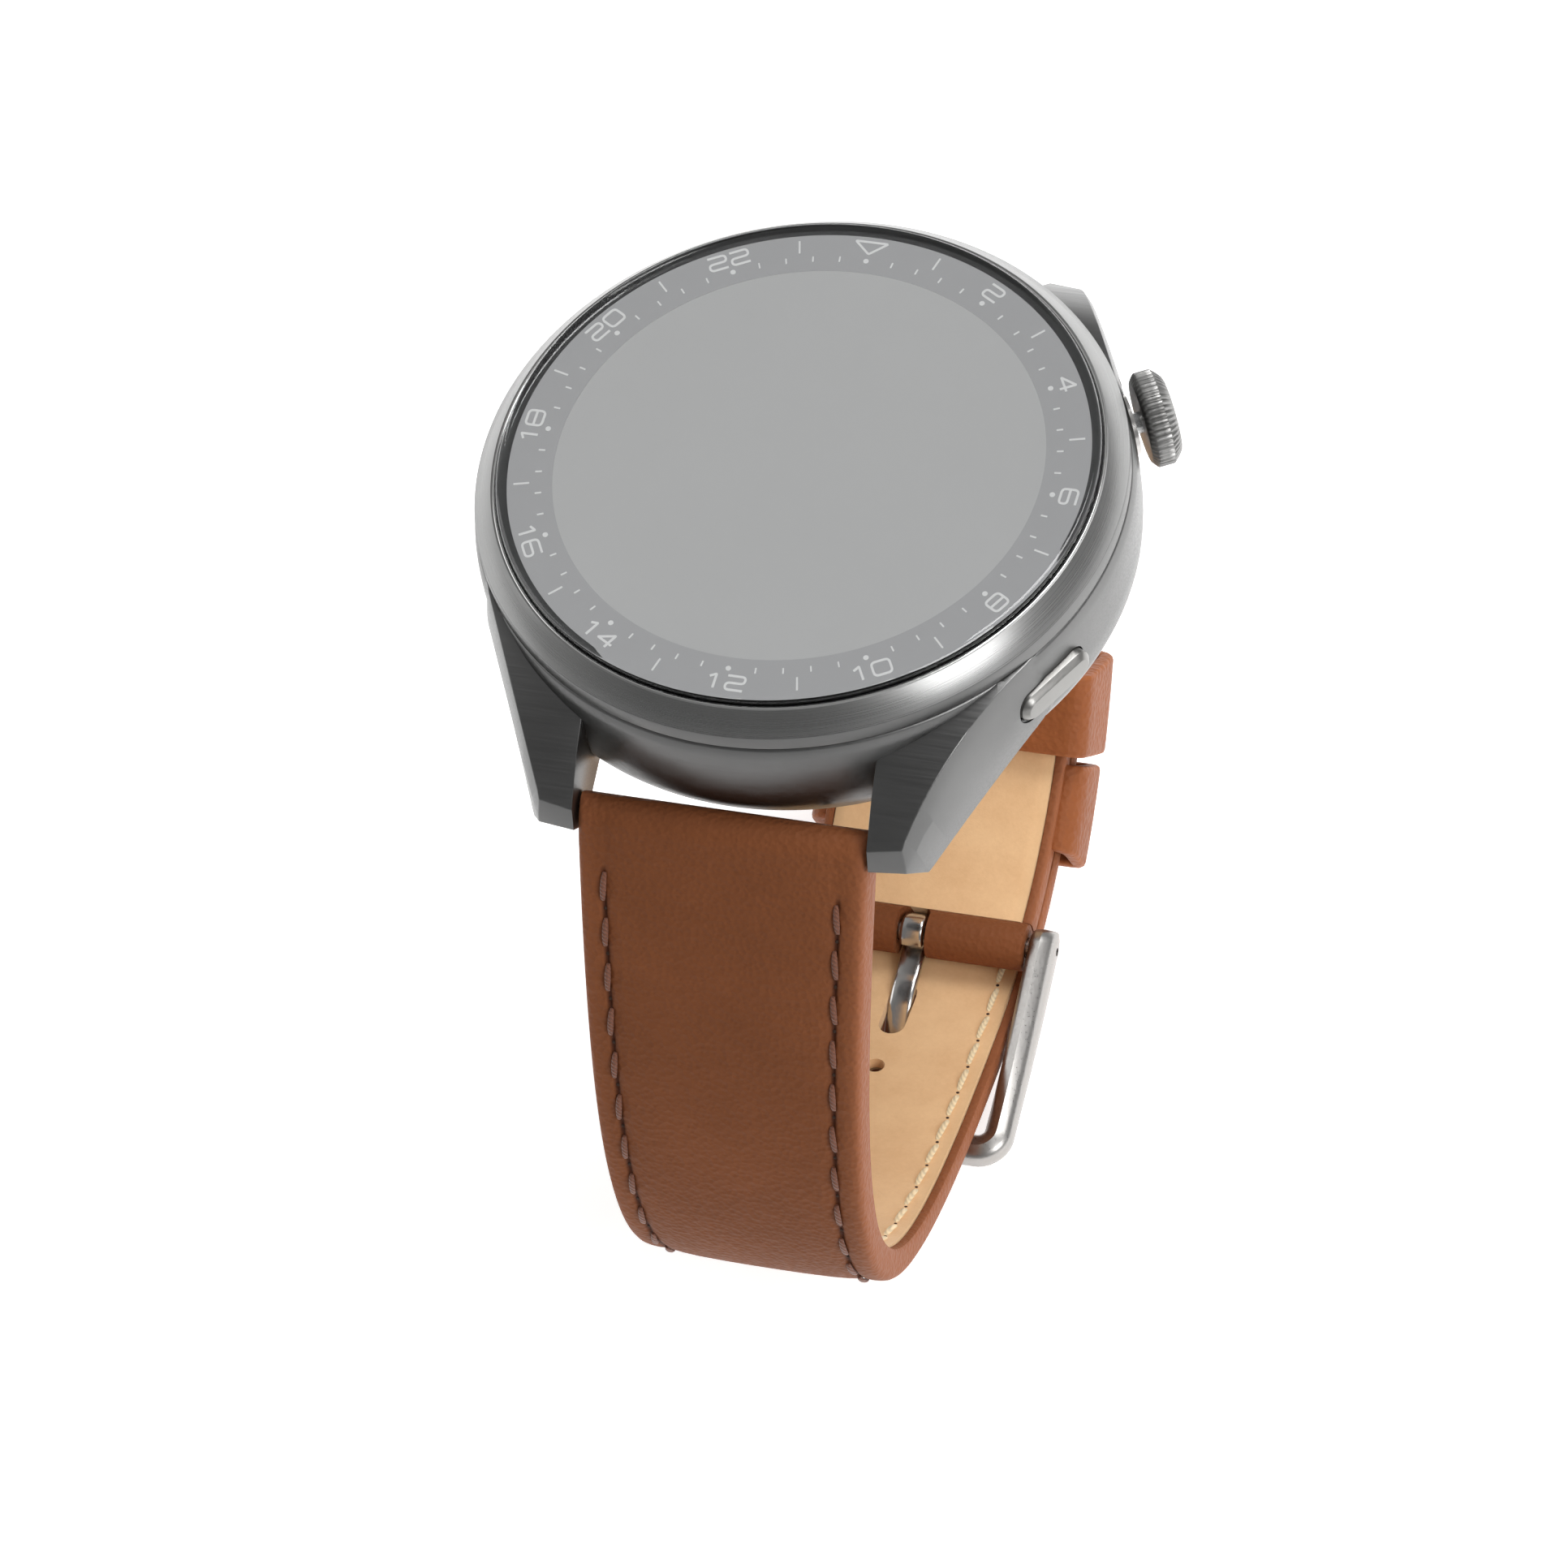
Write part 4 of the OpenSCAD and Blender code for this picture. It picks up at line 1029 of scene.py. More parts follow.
@dataclass
class Dial:
    """Chapter ring with its print, and the screen inside it; all three glow as painted light."""

    inner_r: float = 18.15
    outer_r: float = 21.6
    ring_z: float = 12.7
    print_low: float = 12.835
    print_top: float = 12.893
    minute_r: float = 19.19
    number_r: float = 20.42
    digit: float = 1.35
    digit_height: float = 1.24
    marks: int = 60
    stroke: float = 0.17

    def line(self, shell: Shell, points: Array, width: float, closed: bool,
             place: Callable[[Array], Array]) -> None:
        """Adds one printed stroke.

        Args:
            shell: where the stroke goes.
            points: its middle line.
            width: its width.
            closed: whether it comes back to its start.
            place: turns the figure's own plane to the dial's.
        """
        n = len(points)
        rings = []
        for i, p in enumerate(points):
            a = points[i - 1] if (closed or i) else p
            b = points[(i + 1) % n] if (closed or i < n - 1) else p
            way = (b - a) / max(1e-9, float(np.linalg.norm(b - a)))
            side = np.array([-way[1], way[0]]) * width / 2
            left, right = place(p + side), place(p - side)
            rings.append(np.array([(*left, self.print_low), (*right, self.print_low),
                                   (*right, self.print_top), (*left, self.print_top)]))
        shell.loft(rings, wrap=closed)

    def turned(self, clock: float, radius: float, flip: bool = False,
               shift: float = 0.0) -> Callable[[Array], Array]:
        """Placement of a figure at a clock angle and radius.

        Args:
            clock: angle in degrees from twelve o'clock.
            radius: distance of its middle from the dial's axis.
            flip: whether its head points inwards.
            shift: distance by which it stands to the side.

        Returns:
            A function from the figure's own plane to the dial's.
        """
        a = math.radians(clock)
        out = np.array([math.sin(a), math.cos(a)])
        side = np.array([math.cos(a), -math.sin(a)])
        sign = -1 if flip else 1
        return lambda p: out * (radius + sign * p[1]) + side * sign * (p[0] + shift)

    def print(self) -> Body:
        """All the marks of the twenty-four hour ring.

        Returns:
            One object that holds them.
        """
        shell = Shell()
        bar = lambda half: np.array([(0.0, -half), (0.0, half)])
        for k in range(self.marks):
            put = self.turned(360 / self.marks * k, self.minute_r)
            if k % 5:
                self.line(shell, bar(0.24), 0.11, False, put)
            else:
                spin = np.radians(np.arange(0, 360, 20))
                disc = [np.array([put(0.2 * np.array([math.cos(t), math.sin(t)]))
                                  for t in spin])]
                shell.loft([np.column_stack([disc[0], np.full(18, z)])
                            for z in (self.print_low, self.print_top)])
        for k in range(12):
            self.line(shell, bar(0.58), 0.13, False, self.turned(30 * k + 15, self.number_r))
        for k in range(1, 12):
            flip = 3 < k < 9
            word = str(2 * k)
            step = self.digit + 0.35
            for i, letter in enumerate(word):
                shift = (i - (len(word) - 1) / 2) * step
                put = self.turned(30 * k, self.number_r, flip, shift)
                for closed, corners in FIGURES[letter]:
                    size = np.array(corners) * (self.digit, self.digit_height)
                    soft = 0.06 if letter in "14" else 0.34
                    path = rounded_path(size, soft, 4, closed)
                    self.line(shell, path, self.stroke, closed, put)
        arrow = np.array([(-1.25, 0.6), (1.25, 0.6), (0.0, -0.55)])
        self.line(shell, rounded_path(arrow, 0.12, 3, True), 0.16, True,
                  self.turned(0, self.number_r))
        return shell.finish("dial_print", 25)

    def build(self, shop: Workshop) -> None:
        """Makes the ring, the print and the screen.

        Args:
            shop: takes the finished pieces.
        """
        z = self.ring_z
        ring = Shell().lathe([(self.inner_r, z), (self.outer_r, z), (self.outer_r, z + 0.13),
                              (self.inner_r + 0.1, z + 0.13), (self.inner_r, z + 0.09)],
                             320).finish("chapter_ring")
        shop.hand_in(ring, "chapter_grey", "watch", ["dial_ring"])
        shop.hand_in(self.print(), "print_grey", "watch", ["dial_marks"])
        panel = Shell().lathe([(0, 11.98), (21.35, 11.98), (21.35, 12.6), (21.25, 12.68),
                               (0, 12.68)], 256).finish("screen_panel")
        shop.hand_in(panel, "screen_grey", "watch", ["display_panel"])


# ---------------------------------------------------------------- controls
@dataclass
class Controls:
    """Knurled crown and the flat button under it."""

    crown_clock: float = 60.0
    button_clock: float = 119.0
    height: float = 6.7
    crown_r: float = 3.6
    crown_in: float = 25.35
    crown_len: float = 1.65
    bevel: float = 0.75
    teeth: int = 48
    tooth: float = 0.17

    def knob(self) -> Body:
        """Crown's knob: rounded teeth that run on over its outer bevel.

        Returns:
            The knob.
        """
        start, end = self.crown_in, self.crown_in + self.crown_len
        full = self.crown_r
        stops = [(start, full - 1.1, 0.0), (start, full - 0.62, 0.0),
                 (start + 0.02, full - 0.5, 0.0), (start + 0.3, full - 0.14, 0.6),
                 (start + 0.42, full - 0.02, 1.0), (start + 0.5, full, 1.0),
                 (start + 0.8, full, 1.0), (start + 1.2, full, 1.0), (end - 0.06, full, 1.0),
                 (end + 0.04, full - 0.06, 1.0), (end + self.bevel * 0.55, full - 0.42, 0.85),
                 (end + self.bevel * 0.9, full - 0.74, 0.5),
                 (end + self.bevel, full - 0.95, 0.0), (end + self.bevel, full - 1.12, 0.0),
                 (end + self.bevel - 0.12, full - 1.32, 0.0), (end + self.bevel - 0.1, 1.4, 0.0),
                 (end + self.bevel - 0.06, 0.4, 0.0)]
        turn = np.arange(self.teeth * 8) * 2 * math.pi / (self.teeth * 8)
        wave = np.clip(np.cos(turn * self.teeth) * 0.9 + 0.35, -0.55, 0.9)
        dip = (0.9 - wave) / 1.45 * self.tooth
        rings = []
        for z, r, cut in stops:
            far = r - dip * cut
            ring = np.stack([far * np.cos(turn), far * np.sin(turn), np.full(len(turn), z)], 1)
            rings.append(radial(ring, self.crown_clock, self.height))
        return Shell().loft(rings).finish("crown_grip", 40)

    def face(self) -> Body:
        """Button: a pill with a bright chamfer and a faintly crowned face.

        Returns:
            The button.
        """
        levels = ((23.9, 0.0), (24.85, 0.0), (24.9, 0.02), (25.22, 0.34), (25.29, 0.44),
                  (25.31, 0.62), (25.33, 0.95))
        rings = []
        for z, inset in levels:
            o = pill(7.0 - 2 * inset, 2.4 - 2 * inset, 16)
            rings.append(radial(np.column_stack([o, np.full(len(o), z)]), self.button_clock,
                                self.height))
        return Shell().loft(rings).finish("button_face", 24)

    def build(self, shop: Workshop) -> None:
        """Makes both controls."""
        shop.hand_in(self.knob(), "crown_steel", "crown", ["crown_knob"])
        shop.hand_in(self.face(), "button_satin", "button", ["side_button"])


# ---------------------------------------------------------------- strap
@dataclass(frozen=True)
class Station:
    """One place along the strap: a point of the lining's face and what stands on it."""

    point: Array
    out: Array
    thick: float
    half: float
    run: float
    open: float = 1.0
    squeeze: float = 1.0

    def at(self, across: float, depth: float) -> tuple[float, float, float]:
        """Point at a distance across the strap and a depth outwards from the lining."""
        p = self.point + self.out * depth
        return across, float(p[0]), float(p[1])


@dataclass(frozen=True)
class Route:
    """Line of the closed strap, from both spring bars to the buckle's pin."""

    bar_y: float = 25.4
    bar_z: float = 1.75
    lining_depth: float = 1.45
    low_r: float = 24.0
    mid_r: float = 32.0
    top_r: float = 55.0
    head_lug: float = 114.0
    head_top: float = 95.0
    head_mid: float = 40.0
    head_pin: float = 3.5
    head_front: float = -119.0
    head_join: float = -10.0
    long_reach: float = 38.8
    join_reach: float = 37.7
    tail_off: float = 3.1
    lining: float = 0.9
    outer: float = 1.3
    filler_lug: float = 1.4
    filler_short: float = 0.6
    filler_tail: float = 0.2
    wide: float = 10.95
    narrow: float = 9.0

    def rear_bar(self) -> Array:
        """Axis of the rear spring bar."""
        return np.array([self.bar_y, self.bar_z])

    def front_bar(self) -> Array:
        """Axis of the front spring bar."""
        return np.array([-self.bar_y, self.bar_z])

    def top_c(self) -> Array:
        """Centre of the arc next to the rear lugs."""
        return self.rear_bar() - (self.lining_depth + self.top_r) * outward(self.head_lug)

    def mid_c(self) -> Array:
        """Centre of the middle arc."""
        return self.top_c() + (self.top_r - self.mid_r) * outward(self.head_top)

    def low_c(self) -> Array:
        """Centre of the arc over the buckle."""
        return self.mid_c() + (self.mid_r - self.low_r) * outward(self.head_mid)

    def pin(self) -> Array:
        """Axis of the buckle's pin."""
        return on_arc(self.low_c(), self.low_r + 0.9, self.head_pin)

    def half(self, z: float) -> float:
        """Half the strap's width at a height.

        Args:
            z: the height.

        Returns:
            The half width.
        """
        low = self.pin()[1] - 5
        share = (z - low) / (self.bar_z + 3 - self.pin()[1])
        return self.narrow + (self.wide - self.narrow) * min(1.0, max(0.0, share))

    def short(self, head: float) -> Station:
        """Station of the short piece at a heading.

        Args:
            head: heading in degrees.

        Returns:
            The station.
        """
        if head < self.head_mid:
            centre, radius = self.low_c(), self.low_r
        elif head < self.head_top:
            centre, radius = self.mid_c(), self.mid_r
        else:
            centre, radius = self.top_c(), self.top_r
        p = on_arc(centre, radius, head)
        fill = self.filler_short + (self.filler_lug - self.filler_short) * max(
            0.0, (head - 70) / (self.head_lug - 70))
        run = math.radians(self.head_lug - head) * radius
        return Station(p, outward(head), self.lining + fill + self.outer, self.half(p[1]), run)

    def tail(self, head: float) -> Station:
        """Station of the long piece's tail, which lies on the short piece.

        Args:
            head: heading in degrees.

        Returns:
            The station.
        """
        centre, radius = ((self.low_c(), self.low_r) if head < self.head_mid
                          else (self.mid_c(), self.mid_r))
        p = on_arc(centre, radius + self.tail_off, head)
        bend = min(head, self.head_mid) - self.head_join
        run = (self.curve_length() + math.radians(bend) * (self.low_r + self.tail_off)
               + math.radians(max(0.0, head - self.head_mid)) * (self.mid_r + self.tail_off))
        return Station(p, outward(head), self.lining + self.filler_tail + self.outer,
                       self.half(p[1]), run)

    def corners(self) -> tuple[Array, Array, Array, Array]:
        """Control points of the long piece's curve.

        Returns:
            The four points.
        """
        p0 = self.front_bar() - self.lining_depth * outward(self.head_front)
        p3 = on_arc(self.low_c(), self.low_r + self.tail_off, self.head_join)
        return (p0, p0 + self.long_reach * along(self.head_front),
                p3 - self.join_reach * along(self.head_join), p3)

    def curve(self, t: float) -> Station:
        """Station of the long piece's curve, from 0 at the lugs to 1 at the buckle.

        Args:
            t: place on the curve.

        Returns:
            The station, with no length in it yet.
        """
        a, b, c, d = self.corners()
        p = (1 - t) ** 3 * a + 3 * t * (1 - t) ** 2 * b + 3 * t * t * (1 - t) * c + t ** 3 * d
        w = (1 - t) ** 2 * (b - a) + 2 * t * (1 - t) * (c - b) + t * t * (d - c)
        w = w / np.linalg.norm(w)
        fill = self.filler_tail + (self.filler_lug - self.filler_tail) * (1 - t)
        return Station(p, np.array([w[1], -w[0]]), self.lining + fill + self.outer,
                       self.half(p[1]), 0.0)

    def table(self) -> tuple[Array, Array]:
        """Length along the curve against its parameter.

        Returns:
            The lengths and their parameters.
        """
        t = np.linspace(0, 1, 201)
        a, b, c, d = self.corners()
        k = t[:, None]
        p = (1 - k) ** 3 * a + 3 * k * (1 - k) ** 2 * b + 3 * k * k * (1 - k) * c + k ** 3 * d
        return np.concatenate([[0], np.cumsum(np.linalg.norm(np.diff(p, axis=0), axis=1))]), t

    def curve_length(self) -> float:
        """Length of the long piece's curve."""
        return float(self.table()[0][-1])

    def long(self, s: float) -> Station:
        """Station of the long piece at a length from its spring bar.

        Args:
            s: the length.

        Returns:
            The station.
        """
        lengths, t = self.table()
        if s <= lengths[-1]:
            st = self.curve(float(np.interp(s, lengths, t)))
            return Station(st.point, st.out, st.thick, st.half, s)
        head = self.head_join + math.degrees((s - lengths[-1]) / (self.low_r + self.tail_off))
        return self.tail(head)


@dataclass
class StrapParts:
    """Builds the leather of both strap pieces by sweeping their sections."""

    route: Route = field(default_factory=Route)
    inset: float = 2.0
    pitch: float = 3.7
    stitch: float = 2.3
    crown: float = 0.32
    groove: float = 0.2
    first: float = 4.8
    under: float = 3.0

    def pocket(self, run: float) -> float:
        """How deep the needle pulls at a length, and how much shade is painted there: 1 between
        stitches, 0 under one.
        """
        turn = (run - self.first) / self.pitch
        return 0.5 - 0.5 * math.cos(2 * math.pi * turn)

    def outer_section(self, st: Station, seam: tuple[float, float]) -> Array:
        """C-shaped section of the outer leather, folded round both edges.

        Args:
            st: where the section stands.
            seam: first and last length between which the stitching runs.

        Returns:
            Closed ring of x, y, z and tone.
        """
        w, t, crown = st.half, st.thick, self.crown
        sewn = ease((st.run - seam[0]) / 0.5) * ease((seam[1] - st.run) / 0.5)
        deep = self.groove * sewn * (0.45 + 0.9 * self.pocket(st.run))
        # Painted shade: a negative tone darkens the seam's groove, most between the stitches.
        dark = -sewn * (0.45 + 0.55 * self.pocket(st.run))
        m = t - crown
        lip, wall = w - 0.75, t - self.route.outer
        edge = [(lip, 0.06, 0.5), (w - 0.42, 0.0, 0.7), (w - 0.14, 0.1, 0.9), (w - 0.02, 0.34, 1),
                (w, t * 0.35, 1), (w, t * 0.6, 1), (w - 0.05, m - 0.52, 1),
                (w - 0.2, m - 0.24, 0.9), (w - 0.42, m - 0.09, 0.65), (w - 0.75, m - 0.02, 0.4),
                (w - 1.2, m + 0.01, 0.18), (w - 1.62, m - 0.01, 0.05)]
        i = self.inset
        seam_pts = [(w - i + 0.24, m - 0.3 * deep, 0.3 * dark),
                    (w - i + 0.1, m - 0.85 * deep, 0.9 * dark), (w - i, m - deep, dark),
                    (w - i - 0.1, m - 0.85 * deep, 0.9 * dark),
                    (w - i - 0.24, m - 0.3 * deep, 0.3 * dark)]
        rise = [(w - i - 0.55, m + 0.22 * crown, 0), (w - i - 1.2, m + 0.5 * crown, 0),
                (w - i - 2.4, m + 0.76 * crown, 0), (w * 0.32, m + 0.94 * crown, 0),
                (w * 0.12, m + crown, 0)]
        right = edge + seam_pts + rise
        left = [(-u, d, q) for u, d, q in reversed(right)]
        floor = 0.08 + st.open * (wall - 0.1)
        hollow = [(-lip, 0.1 + st.open * 0.3, 0), (-lip, floor - 0.05 * st.open, 0),
                  (-lip + 0.3, floor, 0), (-lip * 0.5, floor, 0), (lip * 0.5, floor, 0),
                  (lip - 0.3, floor, 0), (lip, floor - 0.05 * st.open, 0),
                  (lip, 0.1 + st.open * 0.3, 0)]
        ring = []
        for u, d, q in right + left + hollow:
            d = t / 2 + (d - t / 2) * st.squeeze
            ring.append((*st.at(u, d), q))
        return np.array(ring)

    def block_section(self, st: Station, low: float, high: float, side: float,
                      bulge: float) -> Array:
        """Closed section of a flat layer with softened edges.

        Args:
            st: where the section stands.
            low: depth of its inner face.
            high: depth of its outer face.
            side: how far its edges stand inside the strap's.
            bulge: how much higher its middle is.

        Returns:
            Closed ring of x, y, z and tone.
        """
        w = st.half - side
        soft = min(0.14, (high - low) * 0.3)
        top = [(w, high - soft, 0.5), (w - soft, high, 0.2)]
        top += [(w * k, high + bulge * (1 - k * k), 0) for k in (0.85, 0.6, 0.3)]
        bottom = [(w * k, low, 0) for k in (0.3, 0.6, 0.85)]
        bottom += [(w - soft, low, 0.3), (w, low + soft, 0.6)]
        right = bottom + top
        left = [(-u, d, q) for u, d, q in reversed(right)]
        return np.array([(*st.at(u, d), q) for u, d, q in right + left])

    def bar_cap(self, first: Station, way: Array, radius: float) -> list[Station]:
        """Stations that round the leather over the spring bar, before the first one.

        Args:
            first: first station of the strap.
            way: direction from the bar into the strap.
            radius: how far the leather stands round the bar.

        Returns:
            The stations, outermost first.
        """
        made = []
        for angle in (4, 12, 22, 34, 48, 62, 76):
            a = math.radians(angle)
            point = first.point - way * radius * math.cos(a)
            made.append(Station(point, first.out, first.thick, first.half, first.run, 0.0,
                                math.sin(a)))
        return made

    def holes(self, spare: int = 3, diameter: float = 1.5) -> Body:
        """Punches for the buckle holes and for the slot that the tongue goes through.

        Args:
            spare: holes on the side of the lugs.
            diameter: diameter of a hole.

        Returns:
            One cutting shape.
        """
        shell = Shell()
        for k in range(-spare, 3):
            st = self.route.long(self.route.curve_length() + k * 6.5)
            way = np.array([-st.out[1], st.out[0]])
            if k:
                turn = np.radians(np.arange(0, 360, 15))
                outline = diameter / 2 * np.stack([np.cos(turn), np.sin(turn)], 1)
            else:
                outline = pill(5.6, 2.1, 12)
            rings = []
            for depth in (-3.0, 5.5):
                rings.append(np.array([(u, *(st.point + way * v + st.out * depth))
                                       for u, v in outline]))
            shell.loft(rings)
        return shell.finish("punches")


@dataclass
class LongPiece(StrapParts):
    """Long strap piece: from the front lugs, under the buckle, to its tail."""

    step: float = 0.42
    tail_to: float = 52.0

    def stations(self) -> list[Station]:
        """Stations from the spring bar to the tail's tip.

        Returns:
            The stations in order.
        """
        r = self.route
        total = self.route.tail(self.tail_to).run
        made = []
        for s in np.arange(0, total + 1e-6, self.step):
            st = r.long(float(s)) if s <= r.curve_length() else r.tail(
                self.head_at(float(s)))
            tip = max(0.0, (s - (total - 6)) / 6)
            half = st.half * math.sqrt(max(0.02, 1 - tip ** 2.4)) if tip else st.half
            made.append(Station(st.point, st.out, st.thick, max(2.6, half), float(s),
                                0.0 if s < 3.4 or tip > 0.5 else 1.0))
        return made

    def head_at(self, s: float) -> float:
        """Heading of the tail at a length along the long piece.

        Args:
            s: the length.

        Returns:
            The heading in degrees.
        """
        r = self.route
        over = s - r.curve_length()
        low = math.radians(r.head_mid - r.head_join) * (r.low_r + r.tail_off)
        if over <= low:
            return r.head_join + math.degrees(over / (r.low_r + r.tail_off))
        return r.head_mid + math.degrees((over - low) / (r.mid_r + r.tail_off))

    def build(self, shop: Workshop) -> None:
        """Makes the outer leather, padding, lining and both rows of stitches.

        Args:
            shop: takes the finished pieces.
        """
        stations = self.stations()
        way = np.array([-stations[0].out[1], stations[0].out[0]])
        rings = [self.outer_section(st, (3.1, stations[-1].run - 3))
                 for st in self.bar_cap(stations[0], way, 1.8) + stations]
        outer = combine(Shell().loft(rings).finish("strap_long_leather", 50), self.holes())
        shop.hand_in(outer, "cognac_leather", "watch", ["strap_long_outer"])
        body = [st for st in stations if 3.5 < st.run < stations[-1].run - 3.4]
        r = self.route
        pad = Shell().loft([self.block_section(st, 0.92, st.thick - r.outer - 0.06, 0.9, 0.0)
                            for st in body]).finish("strap_long_padding", 50)
        combine(pad, self.holes())
        shop.hand_in(pad, "inner_padding", "watch", ["strap_long_filler"])
        lining = Shell().loft([self.block_section(st, -0.03, 0.89, 0.8, 0.0) for st in body])
        lining = combine(lining.finish("strap_long_lining_face", 50), self.holes())
        shop.hand_in(lining, "tan_lining", "watch", ["strap_long_lining"])
        row = Stitches(self)
        brown = row.sew("strap_long_stitches", self.first, r.curve_length() - 10, r.long, True)
        shop.hand_in(brown, "brown_thread", "watch", ["strap_long_stitching"])
        cream = row.sew("strap_long_under_stitches", self.first + self.pitch / 2,
                        r.curve_length() + 6, r.long, False)
        shop.hand_in(cream, "cream_thread", "watch")
        # Needle holes: dark marks of painted shade, not cut into the leather.
        for name, begin, end, top in (
            ("needle_holes_long", self.first, r.curve_length() - 10, True),
            ("needle_holes_under", self.first + self.pitch / 2, r.curve_length() + 6, False),
        ):
            holes = row.sew(name, begin, end, r.long, top, True)
            shop.hand_in(holes, "needle_hole_shade", "watch")


@dataclass
class ShortPiece(StrapParts):
    """Short strap piece: from the rear lugs to the roll that holds the buckle's pin."""

    step: float = 0.75

    def stations(self) -> list[Station]:
        """Stations from the spring bar to the buckle's pin.

        Returns:
            The stations in order.
        """
        r = self.route
        made = []
        for head in np.arange(r.head_lug, r.head_pin + 3.4, -self.step):
            st = r.short(float(head))
            run = (r.head_lug - float(head)) * 0.72
            made.append(Station(st.point, st.out, st.thick, st.half, run,
                                0.0 if run < 2.6 else 1.0))
        return made

    def roll(self) -> Body:
        """Leather rolled round the buckle's pin, with the slot for the tongue.

        Returns:
            The roll.
        """
        r = self.route
        c, half, radius = r.pin(), r.half(r.pin()[1]), 1.9
        profile = [(0.83, -half + 0.04), (radius - 0.3, -half), (radius - 0.08, -half + 0.09),
                   (radius, -half + 0.34), (radius, half - 0.34), (radius - 0.08, half - 0.09),
                   (radius - 0.3, half), (0.83, half - 0.04)]
        place = lambda p: np.stack([p[:, 2], c[0] + p[:, 0], c[1] + p[:, 1]], 1)
        roll = Shell().lathe(profile, 72, place).finish("strap_pin_roll", 40)
        outline = pill(7.2, 2.5, 14) - np.array([0, 1.75])
        rings = [np.column_stack([outline[:, 0], outline[:, 1] + c[0], np.full(len(outline), z)])
                 for z in (c[1] - 4, c[1] + 4)]
        return combine(roll, Shell().loft(rings).finish("slot"))

    def build(self, shop: Workshop) -> None:
        """Makes the outer leather, roll, padding, lining and stitches.

        Args:
            shop: takes the finished pieces.
        """
        r = self.route
        stations = self.stations()
        out = stations[0].out
        way = -np.array([-out[1], out[0]])
        rings = [self.outer_section(st, (3.0, stations[-1].run - 32))
                 for st in self.bar_cap(stations[0], way, 1.8) + stations]
        outer = Shell().loft(rings).finish("strap_short_leather", 50)
        shop.hand_in(outer, "cognac_leather", "watch", ["strap_short_outer"])
        shop.hand_in(self.roll(), "cognac_leather", "watch")
        body = [st for st in stations if st.run > 2.7]
        pad = Shell().loft([self.block_section(st, 0.92, st.thick - r.outer - 0.06, 0.9, 0.0)
                            for st in body]).finish("strap_short_padding", 50)
        shop.hand_in(pad, "inner_padding", "watch", ["strap_short_filler"])
        lining = Shell().loft([self.block_section(st, -0.03, 0.89, 0.8, 0.0) for st in body])
        lining = lining.finish("strap_short_lining_face", 50)
        shop.hand_in(lining, "tan_lining", "watch", ["strap_short_lining"])
        at = lambda run: r.short(r.head_lug - run / 0.72)
        brown = Stitches(self).sew("strap_short_stitches", self.first, 36, at, True)
        shop.hand_in(brown, "brown_thread", "watch", ["strap_short_stitching"])


@dataclass
class Stitches:
    """Lays single thread loops in a strap's seam."""

    strap: StrapParts
    thread: float = 0.21

    def loop(self, shell: Shell, st: Station, side: int, top: bool, lean: float,
             prick: bool = False) -> None:
        """Adds one stitch.

        Args:
            shell: where it goes.
            st: station of its middle.
            side: -1 left or 1 right.
            top: whether it lies on the outer face or on the lining.
            lean: how far its ends swing sideways.
            prick: whether it is a dark mark of painted shade where the needle's hole is, in place
                of the thread.
        """
        p = self.strap
        way = np.array([-st.out[1], st.out[0]])
        u0 = side * (st.half - p.inset)
        length = p.stitch if top else p.under * 0.82
        if prick:
            length = 0.34
        rings = []
        for k in np.linspace(-1, 1, 11):
            bow = math.sqrt(max(0.0, 1 - k * k * 0.93))
            r = self.thread * (0.45 + 0.55 * bow) * (1.0 if top else 1.05)
            if prick:
                r = 0.17 * bow
            lift = (st.thick - p.crown - 0.12 + 0.26 * bow) if top else (0.1 - 0.24 * bow)
            if prick:
                lift = st.thick - p.crown - p.groove - 0.1 if top else 0.06
            centre = st.point + way * (k * length / 2) + st.out * lift
            ring = []
            for a in np.radians(np.arange(0, 360, 36)):
                off = r * math.sin(a) * 0.8
                q = centre + st.out * off
                ring.append((u0 + lean * k + r * 1.15 * math.cos(a), float(q[0]), float(q[1])))
            rings.append(np.array(ring))
        shell.loft(rings)

    def sew(self, name: str, start: float, end: float, at: Callable[[float], Station],
            top: bool, prick: bool = False) -> Body:
        """Sews both edges of a piece.

        Args:
            name: name of the piece.
            start: length of the first stitch's middle.
            end: length that no stitch passes.
            at: gives the station at a length.
            top: whether the stitches lie on the outer face.
            prick: whether to make dark marks of painted shade at the needle's holes in place of the
                thread.

        Returns:
            One object that holds every stitch.
        """
        shell = Shell()
        dice = np.random.default_rng(11 if top else 12)
        for side in (-1, 1):
            pitch = self.strap.pitch if top else self.strap.under
            for s in np.arange(start, end, pitch):
                lean = side * 0.07 + float(dice.normal(0, 0.025))
                middle = float(s) + (pitch / 2 if prick else 0.0)
                self.loop(shell, at(middle), side, top, 0.0 if prick else lean, prick)
        return shell.finish(name, 60)


